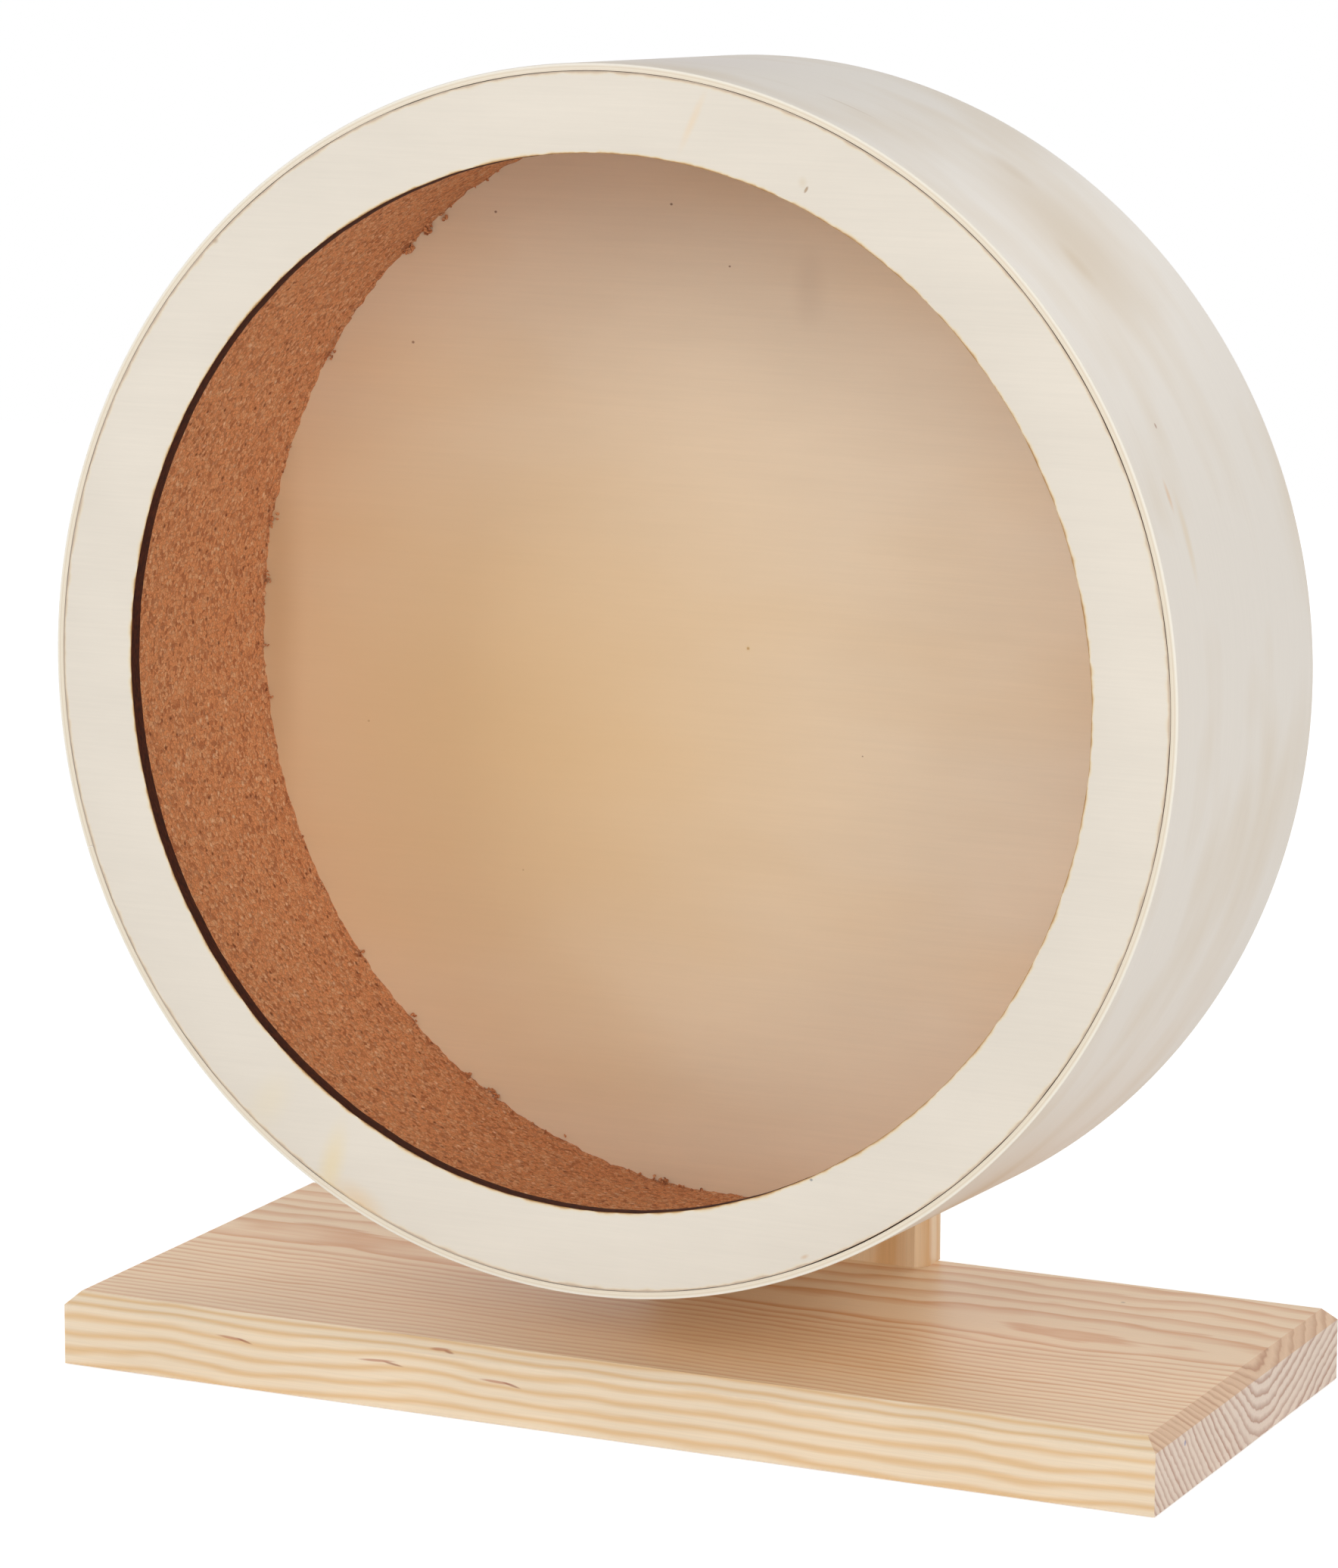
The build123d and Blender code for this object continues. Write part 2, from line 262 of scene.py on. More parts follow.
def turned(name, outline, segments=192, start=0.0, sweep=FULL_TURN, place=wheel_place):
    """A closed mesh turned about the axle, from its outline of (radius, depth) corners.

    The outline may be a function of the angle, which runs anticlockwise from the right as seen from the
    front. The UV map holds metres round the outer radius and along the axle.
    """
    corners_at = outline if callable(outline) else lambda angle: outline
    whole = sweep > FULL_TURN - 1e-6
    bm = bmesh.new()
    uv = bm.loops.layers.uv.new("UVMap")
    angles = [start + sweep * i / segments for i in range(segments + 1)]
    corners = [corners_at(angle) for angle in angles]
    reach = max(radius for radius, depth in corners[0])
    rings = [
        [bm.verts.new((radius * math.cos(a), -radius * math.sin(a), depth)) for radius, depth in ring]
        for a, ring in zip(angles[:segments] if whole else angles, corners)
    ]
    if whole:
        rings.append(rings[0])
    count = len(corners[0])
    for i in range(segments):
        for j in range(count):
            k = (j + 1) % count
            if corners[i][j][0] < 1e-9 and corners[i][k][0] < 1e-9:
                continue
            face = bm.faces.new((rings[i][j], rings[i + 1][j], rings[i + 1][k], rings[i][k]))
            places = [(angles[i], j), (angles[i + 1], j), (angles[i + 1], k), (angles[i], k)]
            for loop, (angle, corner) in zip(face.loops, places):
                loop[uv].uv = (angle * reach, corners[i][corner][1])
    if not whole:
        for ring in (rings[0], rings[-1]):
            bm.faces.new(ring)
    return new_piece(name, bm, place)


def tube(front, back, outer, inner):
    """The outline of a plain ring on the axle."""
    return [(inner, front), (outer, front), (outer, back), (inner, back)]


def plank(name, low, high, chamfers):
    """A board between two corners, with flat chamfers along the edges that each test picks."""
    bm = bmesh.new()
    centre, size = (low + high) / 2, high - low
    bmesh.ops.create_cube(bm, size=1.0, matrix=Matrix.LocRotScale(centre, None, size))
    for width, chosen in chamfers:
        edges = [edge for edge in bm.edges if chosen(*(vert.co for vert in edge.verts))]
        bmesh.ops.bevel(bm, geom=edges, offset=width, segments=1, affect="EDGES", clamp_overlap=True)
    return new_piece(name, bm)


def rounded(corners, radii, steps=3):
    """An outline with each corner rounded by its own radius."""
    points = []
    for i, (corner, radius) in enumerate(zip(corners, radii)):
        here = Vector(corner)
        beside = [Vector(corners[(i + k) % len(corners)]) for k in (-1, 1)]
        ends = [here + (there - here).normalized() * radius for there in beside]
        for k in range(steps + 1):
            t = k / steps
            points.append(tuple(ends[0] * (1 - t) ** 2 + here * 2 * t * (1 - t) + ends[1] * t ** 2))
    return points


def wave(seed, angle, turns, detail):
    """A smooth random value from -1 to 1 that comes back to itself after a full turn."""
    place = Vector((math.cos(angle) * turns, math.sin(angle) * turns, seed * 7.3))
    return noise.fractal(place, 0.7, 2.0, detail)


def modifier_value(modifier, name, value):
    """Sets a Geometry Nodes input by the identifier of the socket that has this name."""
    for item in modifier.node_group.interface.items_tree:
        if item.in_out == "INPUT" and item.name == name:
            modifier[item.identifier] = value


def grown(name, tree, values, place, source=None):
    """An object whose mesh a Geometry Nodes tree makes, turned into a plain mesh in its place."""
    mesh = source or bpy.data.meshes.new(name)
    piece = bpy.data.objects.new(name, mesh)
    bpy.context.scene.collection.objects.link(piece)
    modifier = piece.modifiers.new("Grown", "NODES")
    modifier.node_group = tree
    for key, value in values.items():
        modifier_value(modifier, key, value)
    settle(piece)
    piece.data.transform(place)
    piece.data.set_sharp_from_angle(angle=SHARP)
    return piece


def node_group(name, inputs):
    """An empty Geometry Nodes tree with a geometry input, these named inputs, and a geometry output."""
    tree = bpy.data.node_groups.new(name, "GeometryNodeTree")
    tree.interface.new_socket(name="Geometry", in_out="INPUT", socket_type="NodeSocketGeometry")
    for label, kind, default in inputs:
        socket = tree.interface.new_socket(name=label, in_out="INPUT", socket_type=f"NodeSocket{kind}")
        if default is not None:
            socket.default_value = default
    tree.interface.new_socket(name="Geometry", in_out="OUTPUT", socket_type="NodeSocketGeometry")
    return tree, add(tree, "NodeGroupInput").outputs, add(tree, "NodeGroupOutput")


def realized(tree, given, result, geometry):
    """Ends a tree: the instances become a plain mesh of the tree's material."""
    real = add(tree, "GeometryNodeRealizeInstances", {"Geometry": geometry})
    finished = add(tree, "GeometryNodeSetMaterial", {"Geometry": real, "Material": given["Material"]})
    wire(tree, result, [finished])
    return tree


def copied(tree, given, result, points):
    """Ends a tree: copies of its shape on these points, each turned at random about its own length."""
    spun = add(tree, "FunctionNodeRandomValue", {
        "Min": (0, 0, 0), "Max": (0, 0, FULL_TURN), "Seed": given["Seed"]}, data_type="FLOAT_VECTOR")
    copies = add(tree, "GeometryNodeInstanceOnPoints", {
        "Points": points, "Instance": given["Geometry"], "Rotation": spun})
    return realized(tree, given, result, copies)


def copies_tree():
    """Copies of a shape on a circle about the axle, each turned at random about its own length."""
    tree, given, result = node_group("Copies On A Circle", [
        ("Count", "Int", 4), ("Radius", "Float", 0.01), ("First Angle", "Float", 0.0),
        ("Depth", "Float", 0.0), ("Seed", "Int", 7), ("Material", "Material", None)])
    circle = add(tree, "GeometryNodeMeshCircle", {
        "Vertices": given["Count"], "Radius": given["Radius"]}, fill_type="NONE")
    shift = add(tree, "CombineXYZ", {"Z": given["Depth"]})
    turn = add(tree, "CombineXYZ", {"Z": given["First Angle"]})
    placed = add(tree, "GeometryNodeTransform", {"Geometry": circle, "Translation": shift, "Rotation": turn})
    return copied(tree, given, result, placed)


def pair_tree():
    """Two copies of a shape, a reach to each side along X, each turned at random about its own length."""
    tree, given, result = node_group("Pair Along X", [
        ("Reach", "Float", 0.01), ("Height", "Float", 0.0), ("Seed", "Int", 7),
        ("Material", "Material", None)])
    back = add(tree, "Math", [given["Reach"], -1.0], operation="MULTIPLY")
    start = add(tree, "CombineXYZ", {"X": back, "Z": given["Height"]})
    end = add(tree, "CombineXYZ", {"X": given["Reach"], "Z": given["Height"]})
    row = add(tree, "GeometryNodeMeshLine", {"Count": 2, "Start Location": start, "Offset": end},
              mode="END_POINTS")
    return copied(tree, given, result, row)


def thread_tree():
    """A screw thread: a ridge with a pointed section swept along a helix."""
    tree, given, result = node_group("Screw Thread", [
        ("Turns", "Float", 10.0), ("Radius", "Float", 0.004), ("Length", "Float", 0.01),
        ("Ridge", "Float", 0.0006), ("Material", "Material", None)])
    helix = add(tree, "GeometryNodeCurveSpiral", {
        "Resolution": 40, "Rotations": given["Turns"], "Start Radius": given["Radius"],
        "End Radius": given["Radius"], "Height": given["Length"]})
    upright = add(tree, "GeometryNodeSetCurveNormal", {"Curve": helix}, mode="Z_UP")
    section = add(tree, "GeometryNodeCurvePrimitiveCircle", {"Resolution": 4, "Radius": given["Ridge"]})
    ridge = add(tree, "GeometryNodeCurveToMesh", {
        "Curve": upright, "Profile Curve": section, "Fill Caps": True})
    return realized(tree, given, result, ridge)


def crumbs_tree():
    """A rough crumb on every point of a mesh, each with its own turn, size and shape."""
    tree, given, result = node_group("Crumbs On Points", [
        ("Size", "Float", 0.001), ("Seed", "Int", 7), ("Material", "Material", None)])
    ball = add(tree, "GeometryNodeMeshIcoSphere", {"Radius": given["Size"], "Subdivisions": 2})
    turn, scale = (
        add(tree, "FunctionNodeRandomValue", {"Min": low, "Max": high, "Seed": given["Seed"]},
            data_type="FLOAT_VECTOR")
        for low, high in (((0, 0, 0), (FULL_TURN,) * 3), ((0.28, 0.22, 0.18), (0.72, 0.55, 0.45))))
    copies = add(tree, "GeometryNodeInstanceOnPoints", {
        "Points": given["Geometry"], "Instance": ball, "Rotation": turn, "Scale": scale})
    real = add(tree, "GeometryNodeRealizeInstances", {"Geometry": copies})
    # Lumps of about 1 mm push the surface in and out by up to half of 0.9 mm
    rough = add(tree, "TexNoise", {"Scale": 900.0, "Detail": 1.0})
    centred = add(tree, "VectorMath", [rough.outputs["Color"], (0.5, 0.5, 0.5)], operation="SUBTRACT")
    push = add(tree, "VectorMath", {"Vector": centred, "Scale": 0.9 * MM}, operation="SCALE")
    moved = add(tree, "GeometryNodeSetPosition", {"Geometry": real, "Offset": push})
    finished = add(tree, "GeometryNodeSetMaterial", {"Geometry": moved, "Material": given["Material"]})
    wire(tree, result, [finished])
    return tree


# Materials


def new_material(name, roughness, metallic=0.0, ior=1.5):
    """A material with its shader's plain values set, and its tree and shader."""
    made = bpy.data.materials.new(name)
    made.use_nodes = True
    shader = made.node_tree.nodes["Principled BSDF"]
    shader.inputs["Roughness"].default_value = roughness
    shader.inputs["Metallic"].default_value = metallic
    shader.inputs["IOR"].default_value = ior
    return made, made.node_tree, shader


def in_place(tree, place):
    """Object coordinates in millimetres, in the frame of a piece."""
    at, turn, _ = place.decompose()
    coordinates = add(tree, "TexCoord")
    return add(tree, "Mapping", {
        "Vector": coordinates.outputs["Object"], "Location": at, "Rotation": turn.to_euler(),
        "Scale": (MM, MM, MM)}, vector_type="TEXTURE")


def stretched(tree, point, sizes, **settings):
    """Noise whose features have these sizes in millimetres along X, Y and Z."""
    drawn = add(tree, "Mapping", {"Vector": point, "Scale": [1 / size for size in sizes]})
    return add(tree, "TexNoise", {"Vector": drawn, "Scale": 1.0, **settings})


def spot(tree, colour, point, centre, sizes, mark, strength=1.0, turn=(0, 0, 0), soft=0.6):
    """Paints a soft oval mark of these half sizes on a colour, turned about each axis in degrees."""
    local = add(tree, "Mapping", {
        "Vector": point, "Location": centre, "Rotation": [math.radians(a) for a in turn], "Scale": sizes},
        vector_type="TEXTURE")
    away = add(tree, "VectorMath", [local], operation="LENGTH")
    mask = add(tree, "MapRange", [away, 1 - soft, 1.0, strength, 0.0], interpolation_type="SMOOTHSTEP")
    return add(tree, "Mix", [mask, colour, linear(mark)], data_type="RGBA")


def facing(tree, direction, low, high):
    """How far the surface faces along a direction, either way, from 0 at the low share to 1 at the high."""
    normal = add(tree, "TexCoord").outputs["Normal"]
    along = add(tree, "VectorMath", [normal, direction], operation="DOT_PRODUCT")
    size = add(tree, "Math", [along.outputs["Value"]], operation="ABSOLUTE")
    return add(tree, "MapRange", [size, low, high, 0.0, 1.0])


def mottled(tree, colour, *textures):
    """Makes a colour lighter and darker by textures, each given with its least and its greatest share.

    A noise texture is between 0.3 and 0.7 nearly everywhere.
    """
    shares = [add(tree, "MapRange", [texture, 0.3, 0.7, least, most]) for texture, least, most in textures]
    value = shares[0]
    for share in shares[1:]:
        value = add(tree, "Math", [value, share], operation="MULTIPLY")
    return add(tree, "HueSaturation", {"Color": colour, "Value": value})


def from_axle(tree, point):
    """How far a point is from the axle."""
    flat = add(tree, "VectorMath", [point, (1, 1, 0)], operation="MULTIPLY")
    return add(tree, "VectorMath", [flat], operation="LENGTH").outputs["Value"]


def pine(name, place, lean, spacing, tone):
    """Planed and sanded pine: growth rings as a solid pattern, so each face shows its own cut of them.

    The rings are nested troughs that run along X. Lean is how steeply they rise before and behind the
    heart, spacing is in millimetres, and tone tints the whole. Early wood is pale, late wood a warm line
    that ends sharply, end grain is pinker and browner because it drinks light, and the top is warmer.
    """
    made, tree, shader = new_material(name, roughness=0.4)
    point = in_place(tree, place)
    axes = add(tree, "SeparateXYZ", [point])
    before, behind = lean
    hollow = add(tree, "CombineXYZ", {"X": axes.outputs["Y"], "Y": 12.0})
    reach = add(tree, "VectorMath", [hollow], operation="LENGTH").outputs["Value"]
    down = add(tree, "Math", [axes.outputs["Z"], -1.0], operation="MULTIPLY")
    trough = add(tree, "Math", [reach, (before + behind) / 2, down], operation="MULTIPLY_ADD")
    slope = add(tree, "Math", [axes.outputs["Y"], (behind - before) / 2, trough], operation="MULTIPLY_ADD")
    # The tree's own bends, in millimetres: waves along the grain, a slow drift, and small ones that end
    # grain shows as jagged lines
    bend = stretched(tree, point, (42, 26, 26), Detail=2.0)
    jag = stretched(tree, point, (30, 2.4, 2.4), Detail=1.0)
    drift = stretched(tree, point, (150, 400, 400), Detail=0.0)
    bent = add(tree, "Math", [bend, 5.0, slope], operation="MULTIPLY_ADD")
    jagged = add(tree, "Math", [jag, 1.3, bent], operation="MULTIPLY_ADD")
    across = add(tree, "Math", [drift, 12.0, jagged], operation="MULTIPLY_ADD")
    rings = add(tree, "Math", [across, spacing], operation="DIVIDE")
    phase = add(tree, "Math", [rings], operation="FRACT")
    shifted = add(tree, "Math", [rings, 0.6], operation="ADD")
    which = add(tree, "Math", [shifted], operation="FLOOR")
    chance = add(tree, "TexWhiteNoise", {"W": which}, noise_dimensions="1D")
    late = add(tree, "ValToRGB", [phase], stops=[
        (0.0, "#404040"), (0.12, "#000000"), (0.38, "#2a2a2a"), (0.68, "#d0d0d0"), (0.88, "#ffffff"),
        (1.0, "#707070")])
    weight = add(tree, "MapRange", [chance.outputs["Value"], 0.0, 1.0, 0.55, 1.0])
    colours = finish()
    grain = place.to_3x3() @ Vector((1, 0, 0))
    on_top = facing(tree, (0, 0, 1), 0.74, 0.95)
    on_end = facing(tree, grain, 0.5, 0.78)
    # Late wood is a line on the top and the end, and a soft broad band on the long sides
    wide = add(tree, "Math", [shifted, 0.85], operation="MULTIPLY")
    swing = add(tree, "Math", [wide, 0.5], operation="PINGPONG")
    broad_band = add(tree, "MapRange", [swing, 0.12, 0.5, 0.0, 0.65], interpolation_type="SMOOTHSTEP")
    sawn = add(tree, "Math", [on_top, on_end], operation="MAXIMUM")
    line = add(tree, "Math", [late, weight], operation="MULTIPLY")
    darkness = add(tree, "Mix", [sawn, broad_band, line])
    mixes = []
    for side, top, end in (((*colours.board_light, 1), "#f6d7b2", "#e7d2bf"),
                           ((*colours.board_dark, 1), "#dc9f68", "#aa7657")):
        flat = add(tree, "Mix", [on_top, side, linear(top)], data_type="RGBA")
        mixes.append(add(tree, "Mix", [on_end, flat, linear(end)], data_type="RGBA"))
    colour = add(tree, "Mix", [darkness, mixes[0], mixes[1]], data_type="RGBA")
    # A chamfer sawn across the grain drinks more oil than the planed end, so it is tanner
    past_top = facing(tree, grain, 0.5, 0.65)
    short_of_end = facing(tree, grain, 0.95, 0.8)
    across_grain = add(tree, "Math", [past_top, short_of_end], operation="MULTIPLY")
    toning = add(tree, "Mix", [across_grain, linear(tone), linear("#efd9bf")], data_type="RGBA")
    colour = add(tree, "Mix", [1.0, colour, toning], data_type="RGBA", blend_type="MULTIPLY")
    # Fibres are about 0.05 mm wide; they are drawn at 0.4 mm so that they show
    fibre = stretched(tree, point, (22, 0.42, 0.42), Detail=3.0, Roughness=0.6)
    blotch = stretched(tree, point, (55, 24, 24), Detail=2.0)
    toned = mottled(tree, colour, (fibre, 0.955, 1.03), (blotch, 0.965, 1.03))
    relief = add(tree, "Math", [fibre, 0.5, darkness], operation="MULTIPLY_ADD")
    bump = add(tree, "Bump", {"Strength": 0.25, "Distance": 0.06 * MM, "Height": relief})
    wire(tree, shader, {"Normal": bump})
    return made, tree, shader, toned, point


def board_pine():
    """The base board's pine, with its resin streaks, a small knot and a pencil speck on the end."""
    heart = 5
    place = Matrix.Translation((0, heart * MM, board_high.z))
    made, tree, shader, colour, point = pine("board pine", place, (1.05, 0.45), 3.2, "#ffffff")
    side = board_low.y / MM - heart
    flat = (board_high.z - shape().board_chamfer) / MM
    low = -board_high.z / MM
    # Each resin streak is a thin arc: a long part and a shorter one that bends down from its end
    for x, z, half, tilt in ((-95.7, 12.2, 5.0, 4), (-56.0, 11.6, 6.2, -3), (-39.5, 16.1, 3.6, -2),
                             (-23.9, 10.4, 5.6, 2)):
        y = side + max(0.0, z - flat)
        colour = spot(tree, colour, point, (x, y, z + low), (half, 1.2, 0.45), "#b0694a", 0.65, (0, tilt, 0))
        colour = spot(tree, colour, point, (x + half * 0.7, y, z + low - 0.35), (half * 0.55, 1.2, 0.36),
                      "#955036", 0.65, (0, tilt + 10, 0))
    colour = spot(tree, colour, point, (94.0, 38.1, 0), (0.8, 0.5, 1), "#8a6a58", 0.7)
    # A painted pool of light: the top is lighter and more orange in the middle, where the wheel's shadow
    # falls
    colour = spot(tree, colour, point, (5.0, -38.0, 0), (100, 34, 3), "#fbd2a0", 0.4, soft=1.0)
    colour = spot(tree, colour, point, (board_high.x / MM, -48.4, 12.3 + low), (1, 0.7, 0.9), "#7678a8", 0.8)
    wire(tree, shader, {"Base Color": colour})
    return made


def post_pine():
    """The post's pine, with upright grain."""
    grain = Matrix(((0, 0, 1), (1, 0, 0), (0, 1, 0))).transposed().to_4x4()
    place = Matrix.Translation((14 * MM, post_high.y, 0)) @ grain
    made, tree, shader, colour, point = pine("post pine", place, (0.55, 0.45), 4.2, "#fbf0e2")
    wire(tree, shader, {"Base Color": colour})
    return made


def cut_ply(name, face, wall, inner, outer, grain=(26, 0.8, 0.8)):
    """Laser-cut plywood about the axle: a pale sanded veneer with a scorched edge, and burnt walls.

    The face is nearly plain, with fine pores. The laser leaves a yellow to orange line on the face beside
    each cut and a dark brown wall with the glue lines just showing.
    """
    made, tree, shader = new_material(name, roughness=0.55, ior=1.38)
    point = in_place(tree, wheel_place)
    radius = from_axle(tree, point)
    cloud = stretched(tree, point, (46, 20, 20), Detail=2.0)
    pores = stretched(tree, point, grain, Detail=4.0, Roughness=0.65)
    colour = mottled(tree, (*face, 1), (cloud, 0.972, 1.022), (pores, 0.98, 1.015))
    wobble = stretched(tree, point, (4.5, 4.5, 50), Detail=2.0)
    spread = add(tree, "MapRange", [wobble, 0.35, 0.7, 0.6, 1.5])
    halo = 1.1
    for edge, side, strength in ((inner, 1, 1.0), (outer, -1, 0.5)):
        away = add(tree, "Math", [radius, side, -side * edge / MM], operation="MULTIPLY_ADD")
        near = add(tree, "Math", [away, spread], operation="DIVIDE")
        burn = add(tree, "MapRange", [near, 0.0, halo, strength, 0.0], interpolation_type="SMOOTHSTEP")
        scorch = add(tree, "ValToRGB", [near], stops=[
            (0.0, "#7d5420"), (0.28, "#bc8b47"), (0.5, "#e4ca97"), (1.0, "#efe0bd")])
        colour = add(tree, "Mix", [burn, colour, scorch], data_type="RGBA")
    soot = stretched(tree, point, (1.4, 1.4, 0.5), Detail=3.0)
    sooty = add(tree, "MapRange", [soot, 0.35, 0.7, 0.0, 0.55])
    burnt = add(tree, "Mix", [sooty, (*wall, 1), linear("#602b12")], data_type="RGBA")
    on_face = facing(tree, axle, 0.55, 0.8)
    dull = add(tree, "MapRange", [on_face, 0.0, 1.0, 0.95, 0.55])
    colour = add(tree, "Mix", [on_face, burnt, colour], data_type="RGBA")
    bump = add(tree, "Bump", {"Strength": 0.2, "Distance": 0.04 * MM, "Height": pores})
    wire(tree, shader, {"Normal": bump, "Roughness": dull})
    return made, tree, shader, colour, point


def ring_ply():
    """The front ring's poplar ply, with the marks that its face carries."""
    colours = finish()
    made, tree, shader, colour, point = cut_ply(
        "ring ply", colours.ring_ply, colours.laser_char, ring_size.inner, ring_size.outer)
    for x, y, half_x, half_y, mark, strength, turn in (
            (50.5, -116.8, 0.45, 1.1, "#a3825f", 0.75, 30), (49.6, -118.4, 1.6, 1.9, "#d8c6a8", 0.4, 0),
            (22.0, -131.0, 1.5, 10.0, "#ead0ac", 0.45, 24), (-67.0, 120.0, 4.6, 15.0, "#ecd7a6", 0.55, 14),
            (-59.5, 127.5, 11.0, 5.0, "#e6c79c", 0.55, 28), (-84.0, 106.0, 7.0, 12.0, "#eddcb4", 0.25, 35),
            (57.8, 109.3, 0.5, 0.4, "#6d7480", 0.7, 0), (56.6, 127.5, 1.6, 0.7, "#cda272", 0.5, -26),
            (-101.0, -98.5, 1.2, 0.9, "#a98a6c", 0.5, 0)):
        soft = 0.6 if half_x < 1 else 1.0
        colour = spot(tree, colour, point, (x, y, 0), (half_x, half_y, 3), mark, strength, (0, 0, turn), soft)
    wire(tree, shader, {"Base Color": colour})
    return made


def disc_ply():
    """The back disc's birch ply: warmer, with faint level grain and a few pin specks."""
    colours = finish()
    made, tree, shader, colour, point = cut_ply(
        "disc ply", colours.disc_ply, colours.laser_char, 0.0, disc_size.outer, grain=(30, 0.9, 0.9))
    warmth = stretched(tree, point, (75, 34, 34), Detail=1.5)
    share = add(tree, "MapRange", [warmth, 0.45, 0.75, 0.0, 0.35])
    honey = add(tree, "Mix", [share, (1, 1, 1, 1), linear("#faeacf")], data_type="RGBA")
    colour = add(tree, "Mix", [1.0, colour, honey], data_type="RGBA", blend_type="MULTIPLY")
    front = disc_size.front / MM
    for x, y, half in ((-93.0, -69.7, 0.55), (-70.7, -102.9, 0.5), (-23.1, -106.8, 0.5), (-7.2, -92.5, 0.4),
                       (-104.0, 26.0, 0.45), (-60.0, 60.0, 0.35), (31.0, 24.0, 0.3)):
        colour = spot(tree, colour, point, (x, y, front), (half, half * 0.8, 3), "#7a5238", 0.8)
    # Painted light and shade: a painted pool of warm bounce light makes the veneer more golden in the
    # middle and towards the left, and a painted shadow makes it darkest beside the lining there
    for x, y, sizes, mark, strength, soft in (
            # A painted pool of warm bounce light from the cork, over the middle and the left
            (-70.0, 26.0, (155, 130, 9), "#ebc791", 0.8, 1.0),
            # A painted shadow on the veneer beside the lining at the left
            (-131.0, 0.0, (10, 85, 5), "#c9a676", 0.4, 1.0),
            (14.0, -88.0, (6, 13, 5), "#b9a08a", 0.16, 0.95)):
        colour = spot(tree, colour, point, (x, y, front), sizes, mark, strength, soft=soft)
    wire(tree, shader, {"Base Color": colour})
    return made


def hub_ply():
    """The hub plates' birch ply, cut by laser like the ring."""
    made, tree, shader, colour, point = cut_ply(
        "hub ply", linear("#dcc4a2")[:3], finish().laser_char, 0.0, Round("hub_cover_plate").outer,
        grain=(30, 0.9, 0.9))
    wire(tree, shader, {"Base Color": colour})
    return made


def band_ply():
    """The bent band's thin ply, by its own UV map of metres round and along the drum.

    Its grain and tan patches run round the drum. The front edge shows the plies: two pale faces and a
    slightly darker core.
    """
    made, tree, shader = new_material("band ply", roughness=0.5)
    coordinates = add(tree, "TexCoord")
    strip = add(tree, "Mapping", {"Vector": coordinates.outputs["UV"], "Scale": (1 / MM, 1 / MM, 1)})
    patches = stretched(tree, strip, (60, 26, 1), Detail=2.0, Roughness=0.5)
    streaks = stretched(tree, strip, (24, 1.0, 1), Detail=2.0)
    tan = add(tree, "MapRange", [patches, 0.46, 0.8, 0.0, 0.55])
    colour = add(tree, "Mix", [tan, (*finish().band_ply, 1), linear("#d3bd9c")], data_type="RGBA")
    colour = mottled(tree, colour, (streaks, 0.988, 1.008))
    point = in_place(tree, wheel_place)
    radius = from_axle(tree, point)
    through = add(tree, "MapRange", [radius, band_size.inner / MM, band_size.outer / MM, 0.0, 1.0])
    plies = add(tree, "ValToRGB", [through], stops=[
        (0.0, "#e2d3bc"), (0.35, "#ebe0cc"), (0.5, "#e0d1ba"), (0.65, "#eae0cd"), (0.8, "#f1eadc"),
        (1.0, "#efe8da")])
    on_edge = facing(tree, axle, 0.5, 0.75)
    colour = add(tree, "Mix", [on_edge, colour, plies], data_type="RGBA")
    # Marks by their angle round the drum, their depth, and their half sizes round and along it
    for angle, depth, round_half, along_half, mark, strength, soft in (
            # The mark at 92 degrees is painted shade: the band is greyer, cooler and darker over the top of
            # the drum
            (48.0, 48.0, 48.0, 34.0, "#cfbb9f", 0.75, 1.0), (92.0, 40.0, 60.0, 60.0, "#dcd2cb", 0.6, 1.0),
            (44.8, 36.6, 9.0, 5.0, "#c9b08b", 0.4, 0.9), (57.3, 54.8, 10.0, 6.0, "#c6ad8a", 0.35, 0.9),
            (70.0, 26.0, 11.0, 1.0, "#c9b6a0", 0.5, 0.9), (27.6, 23.1, 0.9, 0.6, "#a8856d", 0.85, 0.6),
            (21.2, 15.1, 5.0, 1.4, "#ddb488", 0.55, 0.9), (17.0, 19.0, 14.0, 2.4, "#e0c8a2", 0.4, 0.9)):
        at = math.radians(angle)
        centre = (band_size.outer * math.cos(at) / MM, -band_size.outer * math.sin(at) / MM, depth)
        colour = spot(tree, colour, point, centre, (6, round_half, along_half), mark, strength,
                      (0, 0, -angle), soft)
    bump = add(tree, "Bump", {"Strength": 0.15, "Distance": 0.04 * MM, "Height": streaks})
    wire(tree, shader, {"Base Color": colour, "Normal": bump})
    return made


